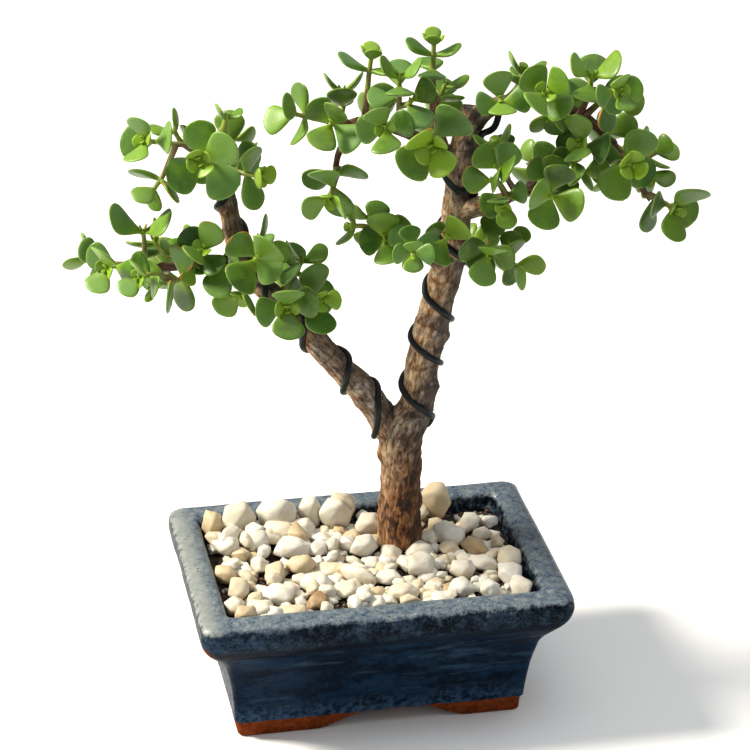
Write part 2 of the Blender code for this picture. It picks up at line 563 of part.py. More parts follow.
def make_pebbles(parts):
    """The marble chips, heaped so that they touch, as one piece round the trunk."""
    draw = random.Random(CHIP_SEED)
    chips = [chip_mesh(chip, draw) for chip in chip_places(draw)]
    pebbles = fuse("pebbles", chips, parts)
    hole_top = POT_HEIGHT + max(CHIP_RADIUS)
    cut(pebbles, cylinder_mesh(TRUNK_HOLE, SOIL_TOP - CUT_PAST, hole_top, TREE_PLACE, TRUNK_HOLE_SIDES))
    drop_scraps(pebbles)
    return pebbles


def limb_runs():
    """Every limb as rows of (x, y, z, radius) in metres, in the tree's frame."""
    runs = {}
    for name, knots in LIMBS.items():
        runs[name] = smooth_run([Vector(knot) * MM for knot in knots], LIMB_STEP)
    return runs


def make_wood(runs, collection):
    """The trunk and its limbs, one piece."""
    meshes = [tube(name, run, TRUNK_BEVEL if name == "trunk" else LIMB_BEVEL) for name, run in runs.items()]
    return fuse("wood", meshes, collection)


def wound(run, passes):
    """Points round a limb, through its passes and between them."""
    lengths = [0]
    for here, after in zip(run, run[1:]):
        lengths.append(lengths[-1] + (after.xyz - here.xyz).length)
    points = []
    for (start, turned), (end, turns) in zip(passes, passes[1:]):
        for i in range(WIRE_PASS_POINTS):
            share = i / WIRE_PASS_POINTS
            along = (start + (end - start) * share) * MM
            angle = math.pi / 2 * (turned + (turns - turned) * share)
            piece = next((k for k in range(1, len(run)) if lengths[k] >= along), len(run) - 1)
            part = (along - lengths[piece - 1]) / (lengths[piece] - lengths[piece - 1])
            middle = run[piece - 1].lerp(run[piece], part)
            onward = (run[piece].xyz - run[piece - 1].xyz).normalized()
            left = Vector((0, -1, 0)).cross(onward).normalized()
            front = onward.cross(left)
            out = front * math.cos(angle) + left * math.sin(angle)
            points.append(middle.xyz + out * (middle.w + WIRE_RADIUS))
    return points


def seat_on(points, surface, lift):
    """Moves each point to this height over the nearest face."""
    seated = []
    for point in points:
        for _ in range(3):
            foot, normal, _, _ = surface.find_nearest(point)
            outward = point - foot
            if outward.dot(normal) < 0 or outward.length < 0.1 * MM:
                outward = normal
            point = foot + outward.normalized() * lift
        seated.append(point)
    return seated


def push_off(points, surface, lift):
    """Moves the points out until every straight piece between them keeps this height over the surface."""
    points = list(points)
    for _ in range(WIRE_ROUNDS):
        for i in range(len(points) - 1):
            for share in (0, 0.25, 0.5, 0.75, 1):
                spot = points[i].lerp(points[i + 1], share)
                foot, normal, _, distance = surface.find_nearest(spot)
                outward = (spot - foot).normalized()
                if outward.dot(normal) < 0:
                    outward.negate()
                    distance = -distance
                if distance < lift:
                    points[i] = points[i] + outward * (lift - distance)
                    points[i + 1] = points[i + 1] + outward * (lift - distance)
    return points


def wire_run(runs, bark):
    """The wire's middle line, laid on the bark from one end to the other."""
    left = wound(runs["left"], LEFT_PASSES)
    right = wound(runs["trunk"], RIGHT_PASSES)
    knots = left[::-1] + [Vector(point) * MM for point in FORK_ROUTE] + right
    lift = WIRE_RADIUS + WIRE_SEAT
    points = seat_on(smooth_run(seat_on(knots, bark, lift), WIRE_STEP), bark, lift)
    points += smooth_run([points[-1]] + [Vector(point) * MM for point in END_ROUTE], WIRE_STEP)[1:]
    points = push_off(points, bark, WIRE_RADIUS + WIRE_CLEAR)
    return [Vector((*point, WIRE_RADIUS)) for point in points]


def all_shoots():
    return [Shoot(*row) for row in SHOOTS]


def node_of(shoot):
    """The name of the shoot whose piece this one is part of: its own, or its carrier's."""
    return shoot.name if shoot.carrier in LIMBS else shoot.carrier


def leafy_length(pairs, length):
    """How much of a stem, back from its tip, bears this many pairs."""
    return TIP_LENGTH + length * sum(INTERNODES[: pairs - 1])


def seated_start(run, bark):
    """The first place along a stem where its flat end clears the bark all round."""
    for i, (here, after) in enumerate(zip(run, run[1:])):
        onward = (after - here).normalized()
        edge = onward.orthogonal().normalized() * STEM_RADIUS[0]
        turns = [Matrix.Rotation(math.radians(angle), 3, onward) for angle in range(0, 360, 45)]
        for point in [here] + [here + turn @ edge for turn in turns]:
            foot, normal, _, distance = bark.find_nearest(point)
            if (point - foot).dot(normal) <= 0 or distance <= GAP:
                break
        else:
            return i
    return len(run) - 2


def stem_rows(base, tip, heading, leafy, bark):
    """A stem as a few rows of (x, y, z, radius). Given bark, it starts just off it."""
    reach = (tip - base).length
    out = (tip - heading * leafy - base).normalized()
    leave = base + out * reach * STEM_EASE
    arrive = tip - heading * max(leafy, reach * STEM_EASE)
    run = interpolate_bezier(base, leave, arrive, tip, STEM_STEPS)
    if bark:
        run = run[seated_start(run, bark) :]
    length = (run[-1] - run[0]).length
    count = 3 if length > LONG_STEM else 2
    thick, thin = STEM_RADIUS
    rows = []
    for i in range(count + 1):
        point = run[round(i / count * (len(run) - 1))]
        rows.append(Vector((*point, thick + (thin - thick) * i / count)))
    return rows


def plan_stems(runs, bark, wire):
    """Every shoot's stem, from the nearest place on its carrier from which it clears all the rest."""
    stems = {}
    surfaces = {}
    nodes = {}
    for shoot in all_shoots():
        nodes[shoot.name] = node_of(shoot)
        tip = Vector(shoot.tip) * MM
        heading = Vector(shoot.heading).normalized()
        leafy = leafy_length(shoot.pairs, shoot.leaf * MM)
        aim = tip - heading * (leafy + STEM_BARE)
        on_wood = shoot.carrier in runs
        rows = runs[shoot.carrier] if on_wood else stems[shoot.carrier][:-1]
        bases = smooth_run([row.xyz for row in rows], 2 * MM)
        others = [bark, wire]
        others += [surfaces[name] for name in surfaces if nodes[name] != nodes[shoot.name]]
        for base in sorted(bases, key=lambda point: (point - aim).length):
            rows = stem_rows(base, tip, heading, leafy, bark if on_wood else None)
            surface = surface_of(tube(shoot.name, rows, 0))
            clear = not any(surface.overlap(other) for other in others)
            if clear or shoot.name not in stems:
                stems[shoot.name] = rows
                surfaces[shoot.name] = surface
            if clear:
                break
    return stems, surfaces


def leaf_cage(leaf, grown=0.0, start=0.0):
    """Points and faces of one leaf as a plump blade: a root, two diamond sections and a blunt tip."""
    half = leaf.length * LEAF_WIDTH / 2 + grown
    thick = LEAF_THICKNESS / 2 * min(1, leaf.length / FULL_LEAF) + grown
    points = [leaf.root + leaf.along * leaf.length * start]
    for share, wide in LEAF_SECTIONS:
        droop = leaf.face * LEAF_BOW * leaf.length * math.sin(math.pi * share)
        middle = leaf.root + leaf.along * leaf.length * share - droop
        spread = leaf.across * half * wide
        points += [middle + spread, middle + leaf.face * thick, middle - spread, middle - leaf.face * thick]
    tip = leaf.root + leaf.along * (leaf.length + grown)
    points += [tip + leaf.across * half * LEAF_TIP, tip - leaf.across * half * LEAF_TIP]
    faces = [(5, 6, 9), (6, 10, 9), (6, 7, 10), (5, 9, 8), (8, 9, 10), (8, 10, 7)]
    for i in range(4):
        after = (i + 1) % 4
        faces += [(0, 1 + i, 1 + after), (1 + i, 1 + after, 5 + after), (1 + i, 5 + after, 5 + i)]
    return points, faces


def place_on_stem(rows, back):
    """The point this far back from a stem's tip, and the stem's direction there."""
    i = len(rows) - 1
    step = rows[i].xyz - rows[i - 1].xyz
    while i > 1 and back > step.length:
        back -= step.length
        i -= 1
        step = rows[i].xyz - rows[i - 1].xyz
    onward = step.normalized()
    return rows[i].xyz - onward * min(back, step.length), onward


def posed_leaf(rows, back, turn, tilt, length):
    """A leaf rooted so far back on its stem, turned about the stem and leant out from it."""
    root, onward = place_on_stem(rows, back)
    right = Vector((1, 0, 0)) - onward * onward.x
    if right.length < 0.3:
        right = Vector((0, 0, 1)).cross(onward)
    out = Matrix.Rotation(math.radians(turn), 3, onward) @ right.normalized()
    along = onward * math.cos(math.radians(tilt)) + out * math.sin(math.radians(tilt))
    across = onward.cross(out).normalized()
    return Leaf(root, along, across, along.cross(across), length)


def clear_leaf(rows, back, turn, tilt, length, node, placed, solids):
    """The first of a leaf's tries that touches nothing, as a Placed, or None."""
    for around, lean, scale in LEAF_TRIES:
        leaf = posed_leaf(rows, back, turn + around, tilt + lean, length * scale)
        middle = leaf.root + leaf.along * leaf.length / 2
        whole = BVHTree.FromPolygons(*leaf_cage(leaf, LEAF_MARGIN))
        blade = BVHTree.FromPolygons(*leaf_cage(leaf, LEAF_MARGIN, ROOT_SHARE))
        if any(blade.overlap(solid) for solid in solids):
            continue
        reach = LEAF_REACH * leaf.length
        near = [other for other in placed if (other.middle - middle).length < other.reach + reach]
        strangers = [other.whole for other in near if other.node != node]
        siblings = [other.blade for other in near if other.node == node]
        if not any(whole.overlap(other) for other in strangers) and not any(map(blade.overlap, siblings)):
            return Placed(leaf, node, middle, reach, whole, blade)
    return None


def plan_leaves(stems, stem_surfaces, bark, wire):
    """Every shoot's leaves, each turned, leant or shrunk until it clears its neighbours, or left out."""
    draw = random.Random(SEED + 1)
    placed = []
    leaves = {name: [] for name in stems}
    for shoot in all_shoots():
        rows = stems[shoot.name]
        node = node_of(shoot)
        solids = [bark, wire] + [stem_surfaces[name] for name in stems if name != shoot.name]
        for pair in range(shoot.pairs):
            back = leafy_length(pair + 1, shoot.leaf * MM)
            share = PAIR_LENGTHS[pair] or shoot.young
            for side in (0, 180):
                length = shoot.leaf * MM * share * draw.uniform(0.9, 1.06)
                tilt = PAIR_TILTS[pair] + draw.uniform(-7, 7)
                turn = shoot.turn + 90 * pair + side + draw.uniform(-9, 9)
                found = clear_leaf(rows, back, turn, tilt, length, node, placed, solids)
                if found:
                    placed.append(found)
                    leaves[shoot.name].append(found.leaf)
    return leaves


def leaf_mesh(leaf):
    points, faces = leaf_cage(leaf)
    shape = bmesh.new()
    verts = [shape.verts.new(point) for point in points]
    for face in faces:
        shape.faces.new([verts[i] for i in face])
    return mesh_from("leaf", shape)


def make_sprays(stems, leaves, collection):
    """One object for each leafy stem, with the stems that branch from it."""
    members = {}
    for shoot in all_shoots():
        members.setdefault(node_of(shoot), []).append(shoot.name)
    sprays = []
    for node, names in members.items():
        meshes = [tube(name, stems[name], 0) for name in names]
        meshes += [leaf_mesh(leaf) for name in names for leaf in leaves[name]]
        spray = fuse("spray_" + node, meshes, collection)
        drop_scraps(spray)
        sprays.append(spray)
    return sprays


def make_tree(parts):
    """The wood, the training wire and the leafy sprays, in the tree's own frame."""
    runs = limb_runs()
    wood = make_wood(runs, parts)
    bark = surface_of(wood.data)
    wire = add_object("training_wire", tube("training_wire", wire_run(runs, bark), 0), parts)
    wire_surface = surface_of(wire.data)
    stems, stem_surfaces = plan_stems(runs, bark, wire_surface)
    leaves = plan_leaves(stems, stem_surfaces, bark, wire_surface)
    return wood, wire, make_sprays(stems, leaves, parts)


def stand(name, place, height, turn, objects):
    """An empty that carries these objects."""
    empty = bpy.data.objects.new(name, None)
    bpy.context.scene.collection.objects.link(empty)
    empty.location = (*place, height)
    empty.rotation_euler.z = turn
    for obj in objects:
        obj.parent = empty
    return empty


def main():
    clear_scene()
    parts = bpy.data.collections.new("jade_bonsai")
    bpy.context.scene.collection.children.link(parts)

    pot = make_pot(parts)
    screens = [make_screen("drain_screen_left", -1, parts), make_screen("drain_screen_right", 1, parts)]
    soil = make_soil(parts)
    pebbles = make_pebbles(parts)
    wood, wire, sprays = make_tree(parts)

    finishes = (
        (make_material("blue_glaze", (0.035, 0.06, 0.13), 0.25), [pot]),
        (make_material("black_plastic", (0.02, 0.02, 0.02), 0.5), screens),
        (make_material("potting_soil", (0.035, 0.02, 0.012), 0.95), [soil]),
        (make_material("marble_chips", (0.8, 0.76, 0.68), 0.6), [pebbles]),
        (make_material("bark", (0.25, 0.13, 0.07), 0.85), [wood]),
        (make_material("dark_wire", (0.02, 0.03, 0.025), 0.4), [wire]),
        (make_material("jade_leaf", (0.12, 0.3, 0.06), 0.4), sprays),
    )
    for material, objects in finishes:
        for obj in objects:
            obj.data.materials.clear()
            obj.data.materials.append(material)

    pot_stand = stand("pot_stand", POT_PLACE, 0, 0, [pot, *screens, soil, pebbles])
    tree_stand = stand("tree_stand", TREE_PLACE, SOIL_TOP, TREE_TURN, [wood, wire, *sprays])
    tree_stand.parent = pot_stand


if __name__ == "__main__":
    main()
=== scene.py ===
"""The looks of the jade bonsai in its pot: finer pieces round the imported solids, finishes, light and camera.

Metres, +Z up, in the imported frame. Tables of points and of shoots are in millimetres, in the tree's own
frame: right, away, and up from the soil. The limbs, the wire, the chips and the shoots are planned by the
same rules and draws as in the part's source, so each finer piece lies on its packed one.
"""

import math
import random
from collections import namedtuple

import bmesh
import bpy
import numpy as np
from mathutils import Matrix, Vector, noise
from mathutils.bvhtree import BVHTree
from mathutils.geometry import interpolate_bezier


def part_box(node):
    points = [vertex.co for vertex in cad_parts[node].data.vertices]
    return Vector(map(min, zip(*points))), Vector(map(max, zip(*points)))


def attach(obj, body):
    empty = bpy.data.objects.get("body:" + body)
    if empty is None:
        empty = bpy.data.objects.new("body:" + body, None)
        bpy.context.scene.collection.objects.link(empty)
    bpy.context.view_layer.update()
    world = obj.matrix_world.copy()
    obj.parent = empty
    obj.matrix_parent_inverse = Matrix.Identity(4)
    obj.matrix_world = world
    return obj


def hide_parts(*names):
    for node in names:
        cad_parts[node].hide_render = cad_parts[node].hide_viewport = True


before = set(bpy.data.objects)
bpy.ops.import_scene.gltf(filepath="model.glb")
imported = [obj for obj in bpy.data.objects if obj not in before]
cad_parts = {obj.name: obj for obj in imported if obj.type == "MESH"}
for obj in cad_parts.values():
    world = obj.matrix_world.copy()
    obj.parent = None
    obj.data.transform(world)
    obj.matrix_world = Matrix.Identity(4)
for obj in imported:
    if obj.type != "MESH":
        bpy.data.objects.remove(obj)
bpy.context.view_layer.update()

MM = 0.001
GAP = 0.3 * MM  # between two pieces, where one rests on the other
SEED = 11
CHIP_SEED = 2

# The pot: a rim that stands out over a hollow neck, straight walls, and an unglazed foot in four corners
POT_PLACE = (-4.5 * MM, -7.8 * MM)
POT_WIDTH = 153 * MM
POT_DEPTH = 104 * MM
POT_HEIGHT = 62 * MM
POT_FLOOR = 11 * MM
RIM_CORNER = 5.5 * MM
CORNER_FADE = 0.15  # how much tighter a corner is, as a share of how far in it is
LEAST_CORNER = 2 * MM
# Each wall, from the foot up, as (how far in from the rim's edge, height) in mm
OUTER_WALL = (
    (17, 0), (16.7, 7.1), (15.6, 7.7), (14.2, 22), (12.4, 31), (9.8, 38.5),
    (2.6, 48), (0, 54.5), (0.5, 60.5), (2.5, POT_HEIGHT / MM),
)  # fmt: skip
LIP_UNDERSIDE = 60.4  # where the inner wall starts to round over
INNER_WALL = ((23, POT_FLOOR / MM), (18.5, 40), (13.5, 54), (11.7, LIP_UNDERSIDE), (9.7, POT_HEIGHT / MM))
BASE_UNDERSIDE = 6.4 * MM
FOOT_WALL = 9 * MM
ARCH_HEIGHT = 6 * MM
FRONT_ARCH = 46 * MM
SIDE_ARCH = 28 * MM
DRAIN_WIDTH = 11 * MM
DRAIN_FROM_MIDDLE = 26 * MM

# The soil, and the marble chips on it
SOIL_TOP = 54 * MM
CHIP_SPACING = 11.6 * MM
CHIP_RADIUS = (7.6 * MM, 9.4 * MM)
CHIP_ROW_SHARE = 0.88  # rows are closer together than the chips in a row
CHIP_FROM_WALL = 0.65  # how far a chip's middle keeps from the wall, as a share of its radius
CHIP_CORNERS = 13
GOLDEN_ANGLE = math.radians(137.5)
CHIP_HEAP = 2.4 * MM
CHIP_BANK = 4.6 * MM  # how much higher they lie along the back, and half as much along the left
CHIP_SHAKE = 1.3 * MM
CHIP_LEAN = math.radians(20)
# Where the soil shows between the chips, as (right, away, radius) in mm from the pot's middle
BARE_SOIL = ((-17, -29, 6), (-20, -8, 5), (12, -10, 6), (-14, 23, 5), (29, -10, 4), (60, 33, 9))
# The chips that stand out, as (right, away, up, length, width, height) in mm and a turn in degrees
KEY_CHIPS = (
    (1, 10, 4.7, 14, 10, 13, 10), (-6, -13, 4.7, 20, 8, 10, -40), (10, -27, 3, 17, 14, 9, 5),
    (21, -9, 4.7, 15, 14, 13, 40), (34, -28, 3.7, 13, 11, 10, 10), (37, -15, 4.5, 12, 11, 10, 0),
    (45, -30, 3, 11, 10, 9, -60), (37, 35, 9.2, 17, 12, 19, -10), (-3, -31, 2, 13, 11, 7, -15),
    (-12, -20, 3, 14, 13, 8, 15), (-29, 14, 4.7, 19, 14, 10, 15), (-7, 33, 8.4, 16, 11, 16, 5),
    (-32, 34, 8.7, 20, 13, 18, -15), (-49, 33, 9, 18, 14, 19, 20), (6, 27, 4.7, 14, 12, 13, 0),
    (38, 13, 4.7, 17, 13, 12, -45), (49, 22, 4.7, 14, 11, 10, 60), (-41, -20, 3, 17, 14, 8, -20),
    (-50, -29, 3, 14, 13, 7, 0), (-28, -1, 4.7, 14, 11, 10, 0), (-56, -14, 3.7, 15, 12, 10, 80),
    (-60, -26, 3, 12, 11, 9, 60), (-38, -33, 2, 16, 9, 7, 0), (-25, -27, 2.5, 15, 12, 9, 60),
    (6, -14, 3, 14, 10, 7, 0), (56, -20, 3.5, 15, 13, 9, 80), (58, -31, 3, 14, 13, 9, 60),
    (59, -8, 4, 14, 13, 11, 80), (47, -9, 3.5, 15, 12, 8, 0), (-3, 36, 8.6, 13, 9, 17, 0),
    (-17, 36, 8, 13, 9, 16, 10), (-60, -3, 4.5, 11, 11, 9, 0), (-56, 19, 5.5, 15, 11, 10, -10),
    (-42, 21, 5, 14, 11, 12, 20), (-2, 21, 3, 12, 9, 6, 10), (-22, 29, 5, 14, 11, 10, 0),
    (-60, 32, 8, 12, 11, 16, 0),
)  # fmt: skip
KEY_CHIP_CLEAR = 5.4 * MM  # how far the others keep from the middle of one of these

# The tree stands right of the pot's middle and behind it, turned a little
TREE_PLACE = (18 * MM, 16 * MM)
TREE_TURN = math.radians(-12.3)
LIMB_STEP = 12 * MM
TRUNK_HOLE = 9.8 * MM
TRUNK_DEPTH = -12

# Each limb as points of (right, away, up, radius) in mm along its middle
LIMBS = {
    "trunk": (
        (0, 0, TRUNK_DEPTH, 8.2), (0, 0, 0, 9.0), (-1, 0, 18, 8.7), (-1, 0, 38, 8.4), (-1, 0, 52, 8.9),
        (5, 0, 68, 7.4), (6, 0, 82, 6.7), (9, 1, 99, 7.0), (13, 2, 118, 6.6), (17, 3, 136, 6.3),
        (18.5, 3, 153, 6.1), (19.5, 3, 170, 5.6), (21, 3, 185, 5.4), (23, 2, 197, 4.6),
    ),
    "left": (
        (-1, 0, 50, 7.6), (-9, 0, 61, 6.3), (-18, -1, 74, 5.8), (-28, -2, 85, 5.0), (-36, -2, 95, 5.3),
        (-43, -1, 103, 5.2), (-52, 0, 112, 5.0), (-62, 3, 122, 4.8), (-68, 4, 132, 4.6), (-72, 4, 148, 4.1),
        (-75, 3, 163, 4.0), (-76, 2, 176, 2.8), (-74, 0, 187, 1.9),
    ),
    "west": (
        (-62, 3, 121, 3.8), (-69, 0, 127, 2.8), (-81, -1, 130, 2.3), (-93, -2, 128, 2.0),
        (-104, -2, 127, 1.8), (-112, 0, 128, 1.5),
    ),
    "top": ((18, 2, 168, 4.0), (12, 0, 180, 3.2), (9, 0, 192, 2.4), (7, -1, 204, 1.7)),
    "crown": (
        (12, 1, 180, 2.8), (2, -2, 186, 2.4), (-9, 0, 189, 2.1), (-19, 2, 191, 1.9), (-27, 2, 189, 1.5),
    ),
    "hang": ((-18, 1, 191, 1.9), (-25, -2, 186, 1.7), (-29, -4, 179, 1.5), (-30, -6, 173, 1.3)),
    "inner": ((15, 2, 127, 3.4), (7, -4, 136, 2.3), (-3, -6, 142, 1.9), (-13, -6, 147, 1.5)),
    "east": (
        (22, 2, 188, 4.4), (28, 2, 196, 3.8), (36, 2, 200, 3.1), (47, 2, 201, 2.6), (59, 2, 198.5, 2.3),
        (70, 0, 193, 2.1), (78, -2, 185, 1.9), (86, -3, 174, 1.7), (93, -4, 164, 1.4),
    ),
    "mid": (
        (19, 3, 152, 4.4), (26, -2, 157, 4.2), (31, -3, 158.5, 4.2), (40, -4, 163, 2.2), (49, -5, 166, 1.5),
    ),
    "south": ((17, 3, 134, 3.0), (24, 0, 136, 2.0), (30, -2, 138, 1.5)),
}  # fmt: skip

# The training wire: wound up the left limb, led round behind the fork, and wound up the right limb
WIRE_RADIUS = 1.2 * MM
WIRE_STEP = 5.6 * MM
WIRE_PASS_POINTS = 4
WIRE_SEAT = 0.45 * MM  # between the wire's points and the bark
WIRE_CLEAR = 0.2 * MM  # and at least this all along it
WIRE_ROUNDS = 12
# Its passes round each limb, as (mm along the limb, quarter turns): 0 is front, 1 left and 2 back
LEFT_PASSES = (
    (28, 3), (33, 1), (46, -1), (58, -3), (73, -5), (80, -7), (95, -9), (101, -11),
    (115, -13), (128, -15), (138, -17),
)  # fmt: skip
RIGHT_PASSES = (
    (78, -1), (90, 1), (101, 3), (111, 5), (121, 7), (133, 9), (147, 11), (158, 13),
    (173, 15), (184, 17), (195, 19),
)  # fmt: skip
# Its way behind the fork, and its end, which stands off the wood and bridges the corner to the next limb
FORK_ROUTE = (
    (-11, -7, 70), (-11.5, -9, 63), (-12.5, -5, 54.5), (-11, 4, 51), (-2, 10.5, 50), (7, 8, 53),
    (11.5, 1, 58),
)  # fmt: skip
END_ROUTE = ((29.5, -2, 188.5), (32.5, -2, 191.5), (34, -1.5, 194))

# A shoot's stem, and its leaves in crossed pairs
STEM_RADIUS = (1.5 * MM, 0.9 * MM)
STEM_EASE = 0.38  # how far a stem keeps its first direction, as a share of its reach
STEM_BARE = 4 * MM
STEM_STEPS = 41
LONG_STEM = 18 * MM
TIP_LENGTH = 1.2 * MM
INTERNODES = (0.34, 0.44, 0.5)  # between one pair and the next, as shares of the leaf's length
PAIR_LENGTHS = (None, 1.0, 1.0, 1.15)  # the first pair's share is its shoot's own
PAIR_TILTS = (44, 68, 84, 92)  # degrees that a leaf leans out from the stem
LEAF_WIDTH = 0.92
LEAF_THICKNESS = 2.7 * MM
FULL_LEAF = 13 * MM  # a shorter leaf is thinner too
LEAF_BOW = 0.07
LEAF_SECTIONS = ((0.33, 0.76), (0.74, 1.0))  # (share of the length, share of the half width)
LEAF_TIP = 0.48
LEAF_MARGIN = 0.35 * MM
LEAF_REACH = 0.62  # how far it reaches from its middle, as a share of its length
ROOT_SHARE = 0.24  # the part of a leaf that may touch its own shoot
# What a leaf tries until it clears its neighbours: degrees round the stem, degrees of lean, share of size
LEAF_TRIES = (
    (0, 0, 1), (14, 0, 1), (-14, 0, 1), (0, 12, 1), (0, -14, 1), (24, 8, 0.93), (-24, 8, 0.93),
    (26, -12, 0.88), (-26, -12, 0.88), (0, 0, 0.8), (16, 10, 0.76), (-16, 10, 0.76), (0, -10, 0.68),
)  # fmt: skip

